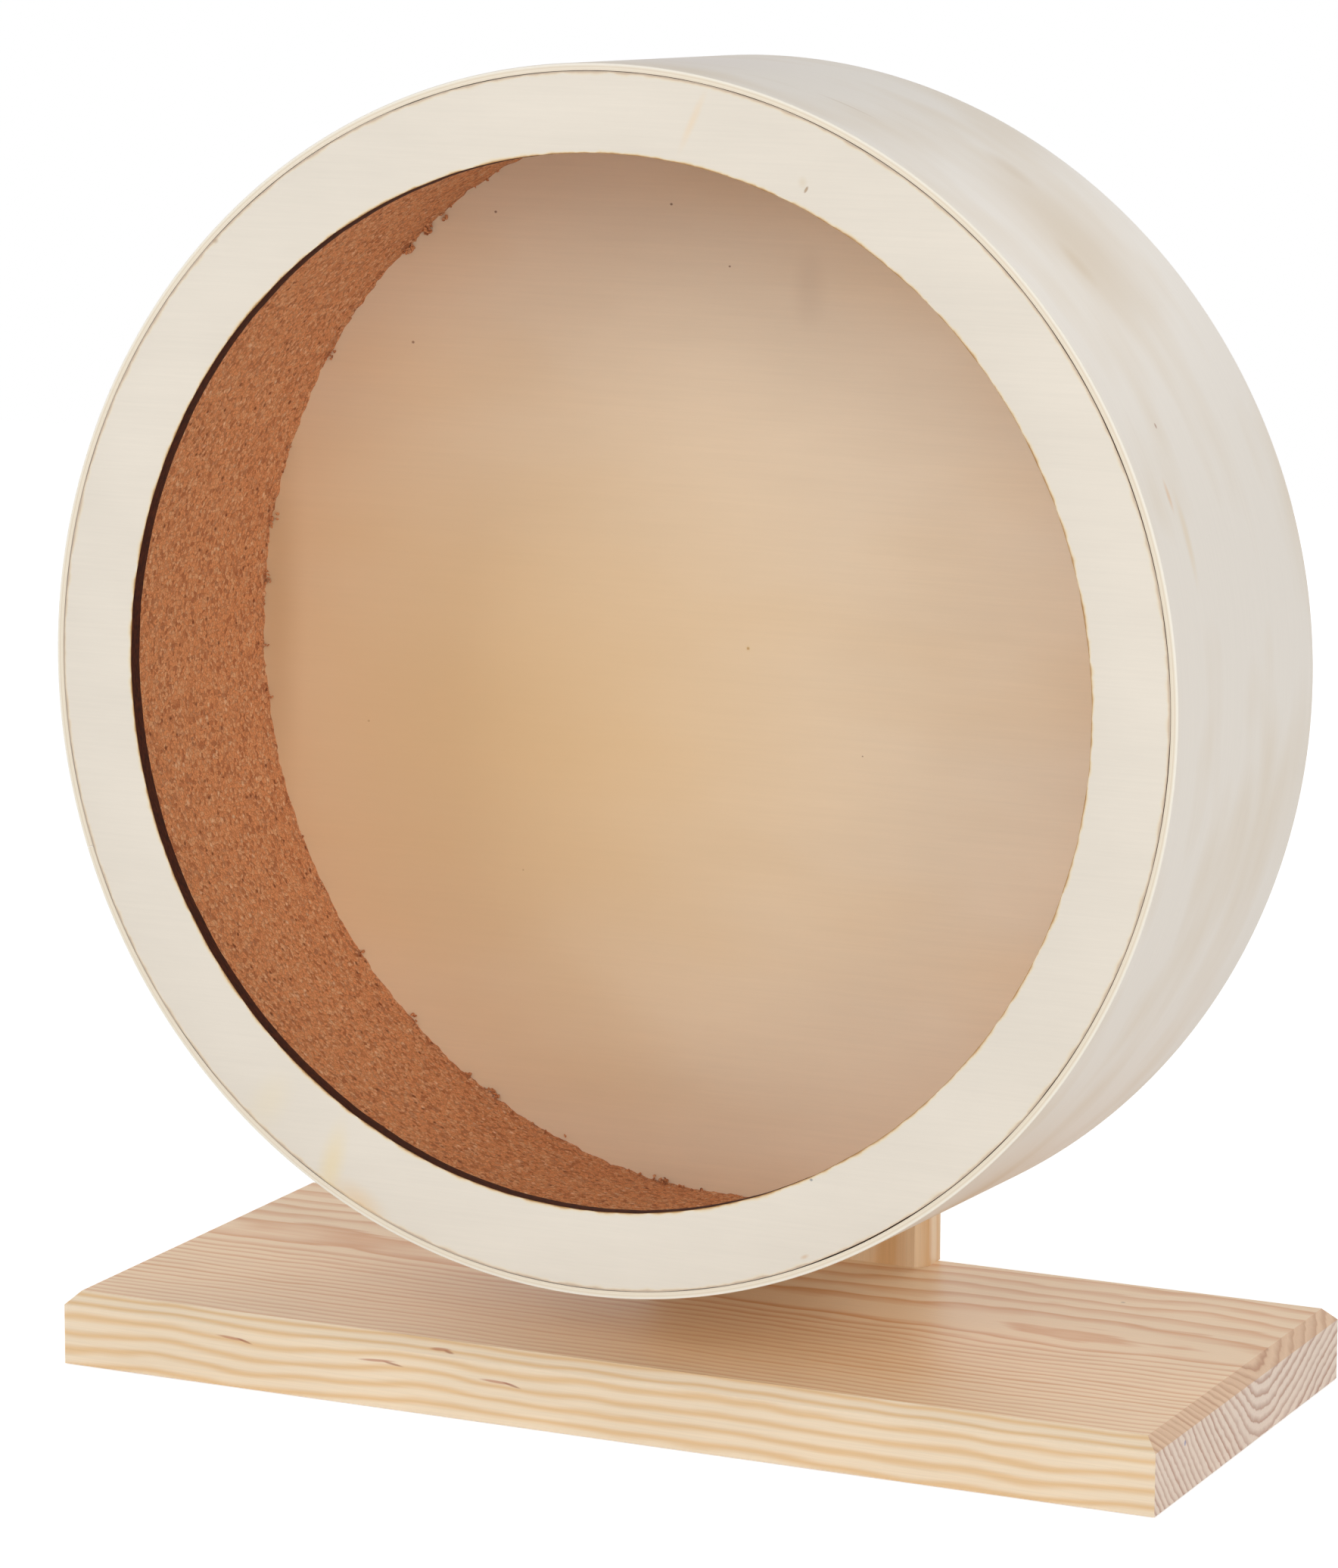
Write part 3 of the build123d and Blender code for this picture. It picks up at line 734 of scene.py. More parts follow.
def cork():
    """Agglomerated cork: 1 to 2 mm granules glued together, rough to the touch and without shine.

    Each granule has its own brown, with pale shards and dark bits of bark between them.
    """
    made, tree, shader = new_material("cork", roughness=0.9)
    point = in_place(tree, wheel_place)
    shake = stretched(tree, point, (1.6, 1.6, 1.6), Detail=2.0)
    warped = add(tree, "VectorMath", [shake.outputs["Color"], (1.1, 1.1, 1.1), point],
                 operation="MULTIPLY_ADD")
    grains = add(tree, "TexVoronoi", {"Vector": warped, "Scale": 1.0})
    tone = add(tree, "SeparateColor", [grains.outputs["Color"]])
    granules = (*finish().cork, 1)
    for channel, least, share, brown in (("Red", 0.5, 0.8, "#e9ba8e"), ("Green", 0.62, 0.75, "#9f5a34")):
        chosen = add(tree, "MapRange", [tone.outputs[channel], least, 1.0, 0.0, share])
        granules = add(tree, "Mix", [chosen, granules, linear(brown)], data_type="RGBA")
    seams = add(tree, "TexVoronoi", {"Vector": warped, "Scale": 1.0}, feature="DISTANCE_TO_EDGE")
    between = add(tree, "MapRange", [seams, 0.0, 0.12, 0.6, 0.0])
    colour = add(tree, "Mix", [between, granules, linear("#a0603a")], data_type="RGBA")
    bark = add(tree, "TexVoronoi", {"Vector": warped, "Scale": 1 / 2.2})
    rare = add(tree, "SeparateColor", [bark.outputs["Color"]])
    core = add(tree, "MapRange", [bark.outputs["Distance"], 0.12, 0.34, 0.9, 0.0])
    for channel, least, flake in (("Blue", 0.85, "#7a3f22"), ("Red", 0.84, "#f0c8a0")):
        chosen = add(tree, "Math", [rare.outputs[channel], least], operation="GREATER_THAN")
        fleck = add(tree, "Math", [chosen, core], operation="MULTIPLY")
        colour = add(tree, "Mix", [fleck, colour, linear(flake)], data_type="RGBA")
    dust = stretched(tree, point, (0.5, 0.5, 0.5), Detail=2.0)
    toned = mottled(tree, colour, (dust, 0.85, 1.13))
    height = add(tree, "Math", [seams, 1.6, dust], operation="MULTIPLY_ADD")
    bump = add(tree, "Bump", {"Strength": 1.0, "Distance": 0.3 * MM, "Height": height})
    wire(tree, shader, {"Base Color": toned, "Normal": bump})
    return made


def steel(name, colour, patch, roughness, scratch=(3.0, 0.12, 0.12)):
    """Steel: zinc plate is a dull blue-grey with a faint mottle, ground bearing steel is brighter."""
    made, tree, shader = new_material(name, roughness=roughness, metallic=1.0)
    point = in_place(tree, wheel_place)
    mottle = stretched(tree, point, (1.8, 1.8, 1.8), Detail=3.0)
    lines = stretched(tree, point, scratch, Detail=2.0)
    share = add(tree, "MapRange", [mottle, 0.35, 0.65, 0.0, 1.0])
    base = add(tree, "Mix", [share, linear(colour), linear(patch)], data_type="RGBA")
    rough = add(tree, "MapRange", [mottle, 0.3, 0.7, roughness * 0.8, roughness * 1.2])
    bump = add(tree, "Bump", {"Strength": 0.15, "Distance": 0.02 * MM, "Height": lines})
    wire(tree, shader, {"Base Color": base, "Roughness": rough, "Normal": bump})
    return made


def nylon(name):
    """Moulded nylon: milky white, slightly waxy."""
    made, tree, shader = new_material(name, roughness=0.4, ior=1.53)
    point = in_place(tree, wheel_place)
    cloud = stretched(tree, point, (0.7, 0.7, 0.7), Detail=2.0)
    base = add(tree, "ValToRGB", [cloud], stops=[(0.3, "#d6d2c2"), (0.7, "#e4e1d4")])
    bump = add(tree, "Bump", {"Strength": 0.1, "Distance": 0.02 * MM, "Height": cloud})
    wire(tree, shader, {"Base Color": base, "Normal": bump})
    return made


def beech():
    """Turned beech: pinkish tan with short dark flecks along the dowel."""
    made, tree, shader = new_material("turned beech", roughness=0.6)
    point = in_place(tree, Matrix.Identity(4))
    flecks = stretched(tree, point, (0.35, 0.35, 2.2), Detail=2.0)
    base = add(tree, "ValToRGB", [flecks], stops=[(0.3, "#a9764f"), (0.45, "#c99a6f"), (0.8, "#d6ab82")])
    bump = add(tree, "Bump", {"Strength": 0.2, "Distance": 0.05 * MM, "Height": flecks})
    wire(tree, shader, {"Base Color": base, "Normal": bump})
    return made


def dress(piece, material, body, slot, *nodes):
    """Gives a piece its material, its body and the CAD nodes that it replaces; the slot is not used."""
    piece.data.materials.clear()
    piece.data.materials.append(material)
    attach(piece, body)
    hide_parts(*nodes)
    return piece


# Screws, nuts and washers


def screw_source(length, radius, head_radius, thread_step):
    """A countersunk wood screw with its head at depth 0 and its point at +Z, with a cross recess."""
    head = head_radius - radius
    point = 2 * radius
    corners = [(0, 0), (head_radius, 0), (head_radius, 0.15 * MM), (radius, head), (radius, 0.35 * length)]
    depth = 0.35 * length
    while depth + thread_step < length - point:
        corners += [(radius, depth), (0.72 * radius, depth + 0.2 * thread_step),
                    (0.72 * radius, depth + 0.8 * thread_step)]
        depth += thread_step
    corners += [(radius, depth), (0.8 * radius, length - point), (0, length)]
    screw = turned("screw source", corners, segments=32, place=Matrix.Identity(4))
    slots = []
    for turn in (0, math.pi / 2):
        bm = bmesh.new()
        size = Vector((1.15 * head_radius, 0.24 * head_radius, 1.2 * head_radius))
        place = Matrix.Rotation(turn, 4, "Z") @ Matrix.Diagonal(size).to_4x4()
        bmesh.ops.create_cube(bm, size=1.0, matrix=place)
        slots.append(new_piece("slot", bm))
    return cut(screw, slots)


def hole_cutter(length, radius, head_radius, recess, place):
    """What a countersunk screw takes out of the wood around it."""
    corners = [(0, -recess), (head_radius, -recess), (head_radius, 0), (radius, head_radius - radius),
               (radius, length), (0, length)]
    return turned("hole", corners, segments=48, place=place)


def hexagon_outline(front, back, across, *inside):
    """The outline of a nut or bolt head at any angle, with its corners turned down at 30 degrees."""
    flat = across / 2

    def corners(angle):
        wide = flat / math.cos(angle % (math.pi / 3) - math.pi / 6)
        drop = (wide - flat) * math.tan(math.radians(30))
        return [(flat, front), (wide, front + drop), (wide, back - drop), (flat, back), *inside]

    return corners


def hole(front, back, radius, segments=64, place=wheel_place):
    """What a plain hole takes away."""
    return turned("hole", tube(front, back, radius, 0), segments, place=place)


# The radii of the post's screws and dowels and of the holes for them
POST_SCREW = 1.75 * MM
POST_SCREW_HEAD = 3.5 * MM
POST_SCREW_HOLE = 1.8 * MM
DOWEL = 3 * MM
DOWEL_HOLE = 3.05 * MM


# Operators


class WheelOperator:
    bl_options = {"REGISTER", "UNDO"}


class HAMSTERWHEEL_OT_base_board(WheelOperator, bpy.types.Operator):
    """Adds the pine base board, chamfered round its top, with the screw and dowel holes under the post"""

    bl_idname = "hamster_wheel.base_board"
    bl_label = "Base Board"

    def execute(self, context):
        top = board_high.z - 1e-6
        board = plank("base_board_wood", board_low, board_high, [
            (shape().board_chamfer, lambda a, b: a.z > top and b.z > top)])
        head = POST_SCREW_HEAD + 0.05 * MM
        dowel_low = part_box("post_dowels")[0].z
        screws = [hole_cutter(board_high.z, POST_SCREW_HOLE, head, 1 * MM, in_post(x, 0.3 * MM))
                  for x in screw_places()]
        dowels = [hole(dowel_low, 30 * MM, DOWEL_HOLE, 48, in_post(x)) for x in dowel_places()]
        cut(board, screws + dowels)
        soften(board, shape().sanded_edge, 3)
        dress(board, board_pine(), "stand", "pine", "base_board")
        return {"FINISHED"}


def in_post(x=0.0, z=0.0):
    """The upright place at this X and height in the middle of the post's thickness."""
    return Matrix.Translation((x, (post_low.y + post_high.y) / 2, z))


def screw_places():
    """Where the two post screws stand along X."""
    low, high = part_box("post_screws")
    reach = (high.x - low.x) / 2 - POST_SCREW_HEAD
    return (-reach, reach)


def dowel_places():
    """Where the two dowels stand along X."""
    low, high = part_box("post_dowels")
    reach = (high.x - low.x) / 2 - DOWEL
    return (-reach, reach)


class HAMSTERWHEEL_OT_post(WheelOperator, bpy.types.Operator):
    """Adds the pine post, chamfered along its tall edges, with the axle's hole and washer seats"""

    bl_idname = "hamster_wheel.post"
    bl_label = "Upright Post"

    def execute(self, context):
        front = post_low.y + 1e-6
        back = post_high.y - 1e-6
        top = post_high.z - 1e-6

        def upright(a, b):
                return abs(a.z - b.z) > 100 * MM

        post = plank("upright_post_wood", post_low, post_high, [
            (shape().post_front_chamfer, lambda a, b: upright(a, b) and a.y < front and b.y < front),
            (shape().post_back_chamfer, lambda a, b: upright(a, b) and a.y > back and b.y > back),
            (shape().post_back_chamfer, lambda a, b: a.z > top and b.z > top)])
        seat, rear = Round("front_washer"), Round("rear_washer")
        bolt_hole, spare, beyond = 4.2 * MM, 1 * MM, 20 * MM
        bolt = [hole(seat.front - beyond, rear.back + beyond, bolt_hole),
                hole(seat.front - beyond, seat.back, seat.outer + spare),
                hole(rear.front, rear.back + beyond, rear.outer + spare)]
        screws = [hole(0, 45.4 * MM, POST_SCREW_HOLE, 32, in_post(x)) for x in screw_places()]
        dowels = [hole(0, 36 * MM, DOWEL_HOLE, 32, in_post(x)) for x in dowel_places()]
        cut(post, bolt + screws + dowels)
        soften(post, shape().sanded_edge, 3)
        dress(post, post_pine(), "stand", "pine", "upright_post")
        return {"FINISHED"}


class HAMSTERWHEEL_OT_front_ring(WheelOperator, bpy.types.Operator):
    """Adds the laser-cut front ring, whose bore strays a little and whose rim leaves an uneven gap"""

    bl_idname = "hamster_wheel.front_ring"
    bl_label = "Front Ring"

    def execute(self, context):
        sizes = shape()

        def outline(angle):
            stray = wave(1, angle, 14, 3.0) * sizes.bore_wobble
            slack = 0.22 + 0.4 * wave(2, angle, 9, 3.0)
            # The gap is widest at the lower right and on the right, as the band springs away there
            for centre, spread, share in ((-59, 9, 1.0), (28, 10, 0.5), (60, 16, 0.1)):
                away = (math.degrees(angle) - centre + 180) % 360 - 180
                slack += share * math.exp(-(away / spread) ** 2)
            rim = band_size.inner - 0.03 * MM - min(1.0, max(0.0, slack)) * sizes.rim_gap
            bore = ring_size.inner + sizes.bore_wobble + stray
            return rounded(tube(ring_size.front, ring_size.back, rim, bore), [sizes.ply_edge] * 4, 2)

        ring = turned("front_ring_ply", outline, segments=1440)
        dress(ring, ring_ply(), "wheel", "pale_ply", "front_ring")
        return {"FINISHED"}


class HAMSTERWHEEL_OT_band(WheelOperator, bpy.types.Operator):
    """Adds the bent ply band, butted at its seam"""

    bl_idname = "hamster_wheel.band"
    bl_label = "Drum Band"

    def execute(self, context):
        seam, seam_angle = 0.1 * MM / band_size.outer, math.radians(200)
        outline = rounded(tube(band_size.front, band_size.back, band_size.outer, band_size.inner),
                          (0.08 * MM, 0.4 * MM, 0.4 * MM, 0.08 * MM))
        band = turned("drum_band_ply", outline, segments=720, start=seam_angle + seam / 2,
                      sweep=FULL_TURN - seam)
        dress(band, band_ply(), "wheel", "pale_ply", "drum_band")
        return {"FINISHED"}


# Tufts of torn cork at the rear edge: the angle in degrees, and how many crumbs each has
TUFTS = ((132.3, 40), (135.4, 52), (129.8, 5), (150.3, 7), (176.4, 9), (170.0, 4), (183.5, 5),
         (-170.8, 4), (-123.0, 9), (-119.5, 16), (-131.5, 6), (-141.0, 5), (-110.0, 5), (-98.5, 10),
         (-86.0, 5))


def bore_radius(angle, radius):
    """How far the lining's dropped bore is from the axle at an angle."""
    drop = shape().cork_drop
    return -drop * math.sin(angle) + math.sqrt(radius ** 2 - (drop * math.cos(angle)) ** 2)


class HAMSTERWHEEL_OT_cork_lining(WheelOperator, bpy.types.Operator):
    """Adds the cork lining, torn along its rear edge, and the crumbs that cling there"""

    bl_idname = "hamster_wheel.cork_lining"
    bl_label = "Cork Lining"

    def execute(self, context):
        sizes = shape()
        bore = cork_size.inner + sizes.cork_drop
        seam, seam_angle = 0.3 * MM / cork_size.outer, math.radians(15)
        steps = (0.0, 0.25, 0.5, 0.7, 0.82, 0.9, 0.95, 0.985, 1.0)
        reach = cork_size.back - cork_size.front

        def outline(angle):
            inside = bore_radius(angle, bore)
            corners = [(cork_size.outer, cork_size.front), (cork_size.outer, cork_size.back)]
            for share in reversed(steps):
                torn = max(0.0, (share - 0.9) / 0.1) ** 1.5
                rough = wave(3, angle, 30, 4.0) * torn * sizes.cork_tear
                swell = wave(4, angle + share, 5, 2.0) * 0.25 * MM
                inner = max(inside + rough + swell * share, cork_size.inner)
                corners.append((inner, cork_size.front + share * reach))
            return corners

        material = cork()
        lining = turned("cork_lining_cork", outline, segments=1440, start=seam_angle + seam / 2,
                        sweep=FULL_TURN - seam)
        dress(lining, material, "wheel", "cork", "cork_lining")
        chance = random.Random(sizes.seed)
        points = []
        places = [(angle + chance.gauss(0, 0.35), 1.3 * chance.random() ** 2) for angle, count in TUFTS
                  for _ in range(count)]
        places += [(chance.uniform(0, 360), 0.25 * chance.random()) for _ in range(sizes.crumb_count)]
        for degrees, out in places:
            angle = math.radians(degrees)
            radius = bore_radius(angle, bore) - out * 1.3 * MM
            depth = cork_size.back - chance.uniform(0.5, 1.6) * MM
            points.append((radius * math.cos(angle), -radius * math.sin(angle), depth))
        cloud = bpy.data.meshes.new("cork_crumbs")
        cloud.from_pydata(points, [], [])
        crumbs = grown("cork_crumbs", crumbs_tree(), {
            "Size": sizes.crumb_size, "Seed": sizes.seed, "Material": material}, wheel_place, cloud)
        crumbs.data.shade_smooth()
        dress(crumbs, material, "wheel", "cork")
        return {"FINISHED"}


class HAMSTERWHEEL_OT_back_disc(WheelOperator, bpy.types.Operator):
    """Adds the ply disc that closes the back of the drum"""

    bl_idname = "hamster_wheel.back_disc"
    bl_label = "Back Disc"

    def execute(self, context):
        disc = turned("back_disc_ply", tube(disc_size.front, disc_size.back, disc_size.outer, 0), 360)
        soften(disc, shape().ply_edge)
        dress(disc, disc_ply(), "wheel", "warm_ply", "back_disc")
        return {"FINISHED"}


class HAMSTERWHEEL_OT_hub(WheelOperator, bpy.types.Operator):
    """Adds the hub's three ply plates behind the disc and the four screws through them"""

    bl_idname = "hamster_wheel.hub"
    bl_label = "Hub"

    def execute(self, context):
        ply = hub_ply()
        screw_radius, head_radius, count, spare = 1.5 * MM, 3 * MM, 4, 0.05 * MM
        sizes = Round("hub_screws")
        circle, head, reach = sizes.outer - head_radius, sizes.back, sizes.back - sizes.front
        over = Matrix.Rotation(math.pi, 4, "X")
        for node in ("hub_base_plate", "hub_bearing_plate", "hub_cover_plate"):
            sizes = Round(node)
            plate = turned(f"{node}_ply", tube(sizes.front, sizes.back, sizes.outer, sizes.inner), 240)
            cutters = []
            for i in range(count):
                angle = (i + 0.5) * FULL_TURN / count
                at = Matrix.Translation((circle * math.cos(angle), circle * math.sin(angle), head))
                cutters.append(hole_cutter(reach + 2 * spare, screw_radius + spare, head_radius + spare,
                                           1 * MM, wheel_place @ at @ over))
            cut(plate, cutters)
            soften(plate, shape().ply_edge)
            dress(plate, ply, "wheel", "pale_ply", node)
        zinc = steel("zinc plated steel", "#b9bcbc", "#a7abae", 0.34)
        source = screw_source(reach, screw_radius, head_radius, 1.2 * MM)
        source.data.transform(over)
        screws = grown("hub_screws_steel", copies_tree(), {
            "Count": count, "Radius": circle, "First Angle": FULL_TURN / count / 2, "Depth": head,
            "Seed": shape().seed, "Material": zinc}, wheel_place, mesh_of(source))
        dress(screws, zinc, "wheel", "zinc_steel", "hub_screws")
        return {"FINISHED"}


class HAMSTERWHEEL_OT_bearing(WheelOperator, bpy.types.Operator):
    """Adds the ball bearing: two races, balls, two shields and shims. The nylon cage keeps its CAD shape"""

    bl_idname = "hamster_wheel.bearing"
    bl_label = "Ball Bearing"

    def execute(self, context):
        ground = steel("ground bearing steel", "#c9cacb", "#bfc1c3", 0.2, scratch=(1.5, 1.5, 0.06))
        balls, inner, outer = Round("bearing_balls"), Round("bearing_inner_race"), Round("bearing_outer_race")
        pitch = (balls.inner + balls.outer) / 2
        ball = (balls.outer - balls.inner) / 2
        middle = (balls.front + balls.back) / 2
        soft = 0.3 * MM

        def groove(side, shoulder):
            """The arc of the ball track, from the shoulder nearest the front to the other."""
            steps = 10
            track = ball + 0.04 * MM
            half = math.acos(abs(pitch - shoulder) / track)
            return [(pitch + side * track * math.cos(half * (1 - 2 * i / steps)),
                     middle - track * math.sin(half * (1 - 2 * i / steps))) for i in range(steps + 1)]

        inner_track = groove(-1, inner.outer)
        race = turned("bearing_inner_race_steel", [
            (inner.inner, inner.back - soft), (inner.inner, inner.front + soft),
            (inner.inner + soft, inner.front), (inner.outer, inner.front), *inner_track,
            (inner.outer, inner.back), (inner.inner + soft, inner.back)], segments=128)
        dress(race, ground, "stand", "bearing_steel", "bearing_inner_race")
        shield = Round("bearing_rear_shield")
        seat = shield.outer + 0.02 * MM
        step = 0.5 * MM
        outer_track = groove(1, outer.inner)
        race = turned("bearing_outer_race_steel", [
            (seat, outer.front), (outer.outer - soft, outer.front), (outer.outer, outer.front + soft),
            (outer.outer, outer.back - soft), (outer.outer - soft, outer.back), (seat, outer.back),
            (seat, outer.back - step), (outer.inner, outer.back - step), *reversed(outer_track),
            (outer.inner, outer.front + step), (seat, outer.front + step)], segments=160)
        dress(race, ground, "wheel", "bearing_steel", "bearing_outer_race")
        for node in ("bearing_front_shield", "bearing_rear_shield"):
            sizes = Round(node)
            plate = turned(f"{node}_steel", tube(sizes.front, sizes.back, sizes.outer, sizes.inner), 128)
            soften(plate, 0.05 * MM)
            dress(plate, ground, "wheel", "bearing_steel", node)
        bm = bmesh.new()
        bmesh.ops.create_uvsphere(bm, u_segments=24, v_segments=14, radius=ball)
        source = new_piece("ball source", bm)
        set_of_balls = grown("bearing_balls_steel", copies_tree(), {
            "Count": 7, "Radius": pitch, "First Angle": 0.0, "Depth": middle, "Seed": shape().seed,
            "Material": ground}, wheel_place, mesh_of(source))
        dress(set_of_balls, ground, "bearing_cage_body", "bearing_steel", "bearing_balls")
        cage = frame["nodes"]["bearing_cage"]
        cage.data.materials.clear()
        cage.data.materials.append(nylon("nylon cage"))
        sizes = Round("bearing_shims")
        thick = 0.5 * MM
        shims = [turned("shim", tube(start, start + thick, sizes.outer, sizes.inner), 96)
                 for start in (sizes.front, sizes.back - thick)]
        dress(joined("bearing_shims_steel", shims), ground, "stand", "zinc_steel", "bearing_shims")
        return {"FINISHED"}


class HAMSTERWHEEL_OT_axle(WheelOperator, bpy.types.Operator):
    """Adds the axle bolt with its thread, the nuts and the washers"""

    bl_idname = "hamster_wheel.axle"
    bl_label = "Axle Bolt And Nuts"

    def execute(self, context):
        sizes = shape()
        zinc = steel("zinc plated bolt steel", "#bcbfc0", "#a9adb0", 0.32)
        clamp, nut, insert = Round("clamp_nut"), Round("lock_nut"), Round("lock_nut_insert")
        across = 2 * clamp.outer * math.cos(math.pi / 6)
        shank = clamp.inner - 0.03 * MM
        core = shank - sizes.thread_depth
        head_height = 5.3 * MM
        head_back = bolt_size.front + head_height
        head = turned("head", hexagon_outline(bolt_size.front, head_back, across, (0, head_back),
                                              (0, bolt_size.front)), 96)
        plain = Round("bearing_shims").back
        rod = turned("rod", [(0, head_back - 0.1 * MM), (shank, head_back - 0.1 * MM), (shank, plain),
                             (core, plain + 0.4 * MM), (core, bolt_size.back - 0.3 * MM),
                             (core - 0.3 * MM, bolt_size.back), (0, bolt_size.back)], 96)
        start = plain + 0.9 * MM
        reach = bolt_size.back - start - 0.9 * MM
        turns = reach / sizes.thread_pitch
        thread = grown("thread", thread_tree(), {
            "Turns": turns, "Radius": core, "Length": reach, "Ridge": sizes.thread_depth, "Material": zinc},
            wheel_place @ Matrix.Translation((0, 0, start)))
        bolt = joined("axle_bolt_steel", [head, rod, thread])
        soften(bolt, 0.06 * MM, 1)
        dress(bolt, zinc, "stand", "zinc_steel", "axle_bolt")
        piece = turned("clamp_nut_steel", hexagon_outline(
            clamp.front, clamp.back, across, (clamp.inner, clamp.back), (clamp.inner, clamp.front)), 96)
        soften(piece, 0.12 * MM)
        dress(piece, zinc, "stand", "zinc_steel", "clamp_nut")
        for node in ("front_washer", "rear_washer"):
            washer = Round(node)
            piece = turned(f"{node}_steel", tube(washer.front, washer.back, washer.outer, washer.inner), 128)
            soften(piece, 0.18 * MM, 3)
            dress(piece, zinc, "stand", "zinc_steel", node)
        # The lock nut's collar is rolled over its nylon ring, down to a lip
        collar, collar_height, lip = 6.2 * MM, 1.7 * MM, 4.8 * MM
        hex_back = nut.back - collar_height
        seat = insert.outer + 0.03 * MM
        piece = turned("lock_nut_steel", hexagon_outline(
            nut.front, hex_back, across, (collar, hex_back), (collar, nut.back - 0.5 * MM),
            (collar - 0.4 * MM, nut.back), (lip, nut.back), (lip, insert.back), (seat, insert.back),
            (seat, insert.front), (clamp.inner, insert.front), (clamp.inner, nut.front)), 96)
        soften(piece, 0.1 * MM)
        dress(piece, zinc, "stand", "zinc_steel", "lock_nut")
        ring = tube(insert.front, insert.back, insert.outer, insert.inner)
        piece = turned("lock_nut_insert_nylon", ring, 96)
        soften(piece, 0.1 * MM)
        dress(piece, nylon("nylon lock ring"), "stand", "nylon", "lock_nut_insert")
        return {"FINISHED"}


def paired(name, mesh, reach, height, material):
    """Two copies of a mesh in the middle of the post."""
    return grown(name, pair_tree(), {
        "Reach": reach, "Height": height, "Seed": shape().seed + 3, "Material": material}, in_post(), mesh)


class HAMSTERWHEEL_OT_post_fixings(WheelOperator, bpy.types.Operator):
    """Adds the two screws and the two dowels that hold the post on the base board"""

    bl_idname = "hamster_wheel.post_fixings"
    bl_label = "Post Screws And Dowels"

    def execute(self, context):
        zinc = steel("zinc plated screw steel", "#b7babb", "#a6aaad", 0.36)
        low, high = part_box("post_screws")
        reach = screw_places()[1]
        source = screw_source(high.z - low.z, POST_SCREW, POST_SCREW_HEAD, 1.8 * MM)
        screws = paired("post_screws_steel", mesh_of(source), reach, low.z, zinc)
        dress(screws, zinc, "stand", "zinc_steel", "post_screws")
        low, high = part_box("post_dowels")
        radius = (high.y - low.y) / 2
        tall = high.z - low.z
        flutes, flute_depth, chamfer = 20, 0.2 * MM, 0.6 * MM

        def outline(angle):
            edge = radius - flute_depth * (0.5 + 0.5 * math.cos(angle * flutes))
            return [(0, 0), (edge - chamfer, 0), (edge, chamfer), (edge, tall - chamfer),
                    (edge - chamfer, tall), (0, tall)]

        source = turned("dowel source", outline, segments=120, place=Matrix.Identity(4))
        wood = beech()
        dowels = paired("post_dowels_beech", mesh_of(source), dowel_places()[1], low.z, wood)
        dress(dowels, wood, "stand", "beech", "post_dowels")
        return {"FINISHED"}


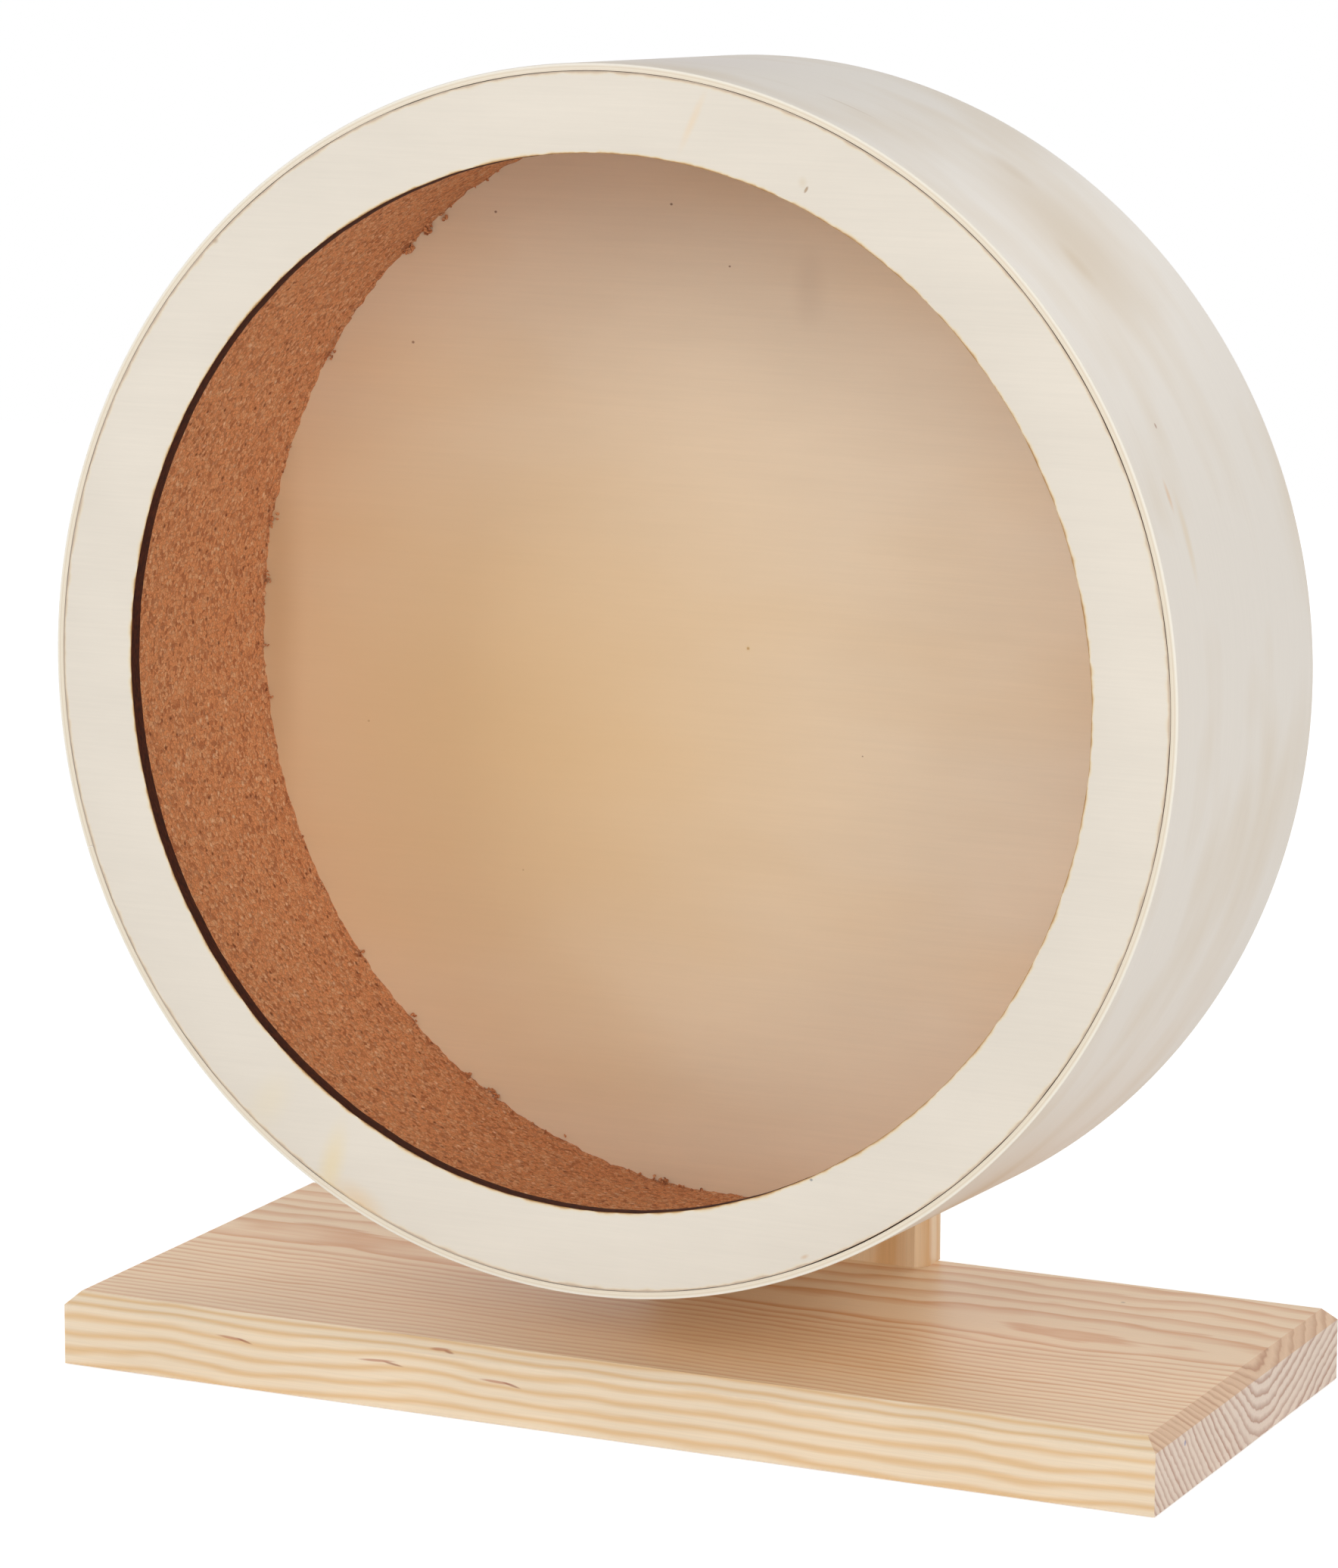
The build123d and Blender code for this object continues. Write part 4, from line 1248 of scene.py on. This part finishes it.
class HAMSTERWHEEL_OT_stage(WheelOperator, bpy.types.Operator):
    """Adds the white floor and backdrop, the lamps and the camera"""

    bl_idname = "hamster_wheel.stage"
    bl_label = "Stage"

    def execute(self, context):
        scene = context.scene
        scene.view_settings.view_transform = "Standard"
        bm = bmesh.new()
        bmesh.ops.create_grid(bm, x_segments=1, y_segments=1, size=1.5)
        floor = new_piece("floor", bm, Matrix.Translation((0, 0, -0.2 * MM)))
        floor.data.materials.append(self.floor_material())
        self.light_world(scene)
        # Each lamp's bearing from the wheel's axis and its height, in degrees, and its share of full white
        for name, bearing, height, share in (("left lamp", -44, 14, 0.22), ("front lamp", 12, 21, 0.19),
                                             ("right lamp", 56, 3, 0.37), ("back lamp", 165, 32, 0.18)):
            self.lamp(name, math.radians(bearing), math.radians(height), share)
        self.camera(scene)
        return {"FINISHED"}

    def seen(self, tree):
        """1 for what the camera, gloss or glass sees, and 0 for the light that falls on things."""
        rays = add(tree, "LightPath").outputs
        direct = add(tree, "Math", [rays["Is Camera Ray"], rays["Is Glossy Ray"]], operation="MAXIMUM")
        return add(tree, "Math", [direct, rays["Is Transmission Ray"]], operation="MAXIMUM")

    def floor_material(self):
        """Matt white paper that keeps the shadow: camera rays see it a little brighter, up to white."""
        made = bpy.data.materials.new("white paper")
        made.use_nodes = True
        tree = made.node_tree
        tree.nodes.clear()
        grain = add(tree, "TexNoise", {"Scale": 400.0})
        tone = add(tree, "MapRange", [grain, 0.3, 0.7, 0.91, 0.93])
        paper = add(tree, "BsdfDiffuse", {"Color": tone})
        lift = add(tree, "Math", [self.seen(tree), 0.5], operation="MULTIPLY")
        glow = add(tree, "Emission", {"Color": (1, 1, 1, 1), "Strength": lift})
        both = add(tree, "AddShader", [paper, glow])
        add(tree, "OutputMaterial", {"Surface": both})
        return made

    def light_world(self, scene):
        """A soft even studio light, and white where the camera, gloss or glass looks past the floor."""
        world = bpy.data.worlds.new("studio")
        scene.world = world
        world.use_nodes = True
        tree = world.node_tree
        tree.nodes.clear()
        strength = add(tree, "MapRange", [self.seen(tree), 0.0, 1.0, 0.46, 1.0])
        sky = add(tree, "Background", {"Color": (1, 1, 1, 1), "Strength": strength})
        add(tree, "OutputWorld", {"Surface": sky})

    def lamp(self, name, bearing, height, share):
        """A square soft lamp that faces the wheel and alone lights a white card there to this share."""
        away, width = 3.0, 1.7
        aim = wheel_place.translation
        light = bpy.data.lights.new(name, "AREA")
        light.size = width
        light.energy = share * math.pi ** 2 * away ** 2
        lamp = bpy.data.objects.new(name, light)
        direction = Vector((math.sin(bearing), -math.cos(bearing), math.tan(height))).normalized()
        lamp.location = aim + direction * away
        lamp.rotation_euler = (-direction).to_track_quat("-Z", "Y").to_euler()
        bpy.context.scene.collection.objects.link(lamp)

    def camera(self, scene):
        """The photograph's view: from the right of the open side, a little above."""
        photo_height = 2072
        focal_pixels = 8050.89
        data = bpy.data.cameras.new("camera")
        data.sensor_width = 36.0
        data.lens = focal_pixels * data.sensor_width / photo_height
        camera = bpy.data.objects.new("camera", data)
        place = Matrix.Translation((0.605078, -1.305815, 0.416545))
        yaw, tip, roll = (math.radians(angle) for angle in (25.181, 79.355, 0.265))
        turn = Matrix.Rotation(yaw, 4, "Z") @ Matrix.Rotation(tip, 4, "X") @ Matrix.Rotation(roll, 4, "Z")
        camera.matrix_world = place @ turn
        scene.collection.objects.link(camera)
        scene.camera = camera


OPERATORS = (
    HAMSTERWHEEL_OT_base_board, HAMSTERWHEEL_OT_post, HAMSTERWHEEL_OT_front_ring, HAMSTERWHEEL_OT_band,
    HAMSTERWHEEL_OT_cork_lining, HAMSTERWHEEL_OT_back_disc, HAMSTERWHEEL_OT_hub, HAMSTERWHEEL_OT_bearing,
    HAMSTERWHEEL_OT_axle, HAMSTERWHEEL_OT_post_fixings, HAMSTERWHEEL_OT_stage,
)


class HAMSTERWHEEL_PT_panel(bpy.types.Panel):
    """Lists the sizes, the colours and the pieces"""

    bl_idname = "HAMSTERWHEEL_PT_panel"
    bl_label = "Hamster Wheel"
    bl_space_type = "VIEW_3D"
    bl_region_type = "UI"
    bl_category = "Hamster Wheel"

    def draw(self, context):
        for group in (context.scene.hamster_wheel_shape, context.scene.hamster_wheel_finish):
            box = self.layout.box()
            for name in group.bl_rna.properties.keys():
                if name not in ("rna_type", "name"):
                    box.prop(group, name)
        for operator in OPERATORS:
            self.layout.operator(operator.bl_idname)


CLASSES = (HamsterWheelShape, HamsterWheelFinish, *OPERATORS, HAMSTERWHEEL_PT_panel)


def register():
    for item in CLASSES:
        bpy.utils.register_class(item)
    bpy.types.Scene.hamster_wheel_shape = PointerProperty(type=HamsterWheelShape)
    bpy.types.Scene.hamster_wheel_finish = PointerProperty(type=HamsterWheelFinish)


def unregister():
    del bpy.types.Scene.hamster_wheel_finish
    del bpy.types.Scene.hamster_wheel_shape
    for item in reversed(CLASSES):
        bpy.utils.unregister_class(item)


def main():
    register()
    for operator in OPERATORS:
        group, name = operator.bl_idname.split(".")
        getattr(getattr(bpy.ops, group), name)()


if __name__ == "__main__":
    main()
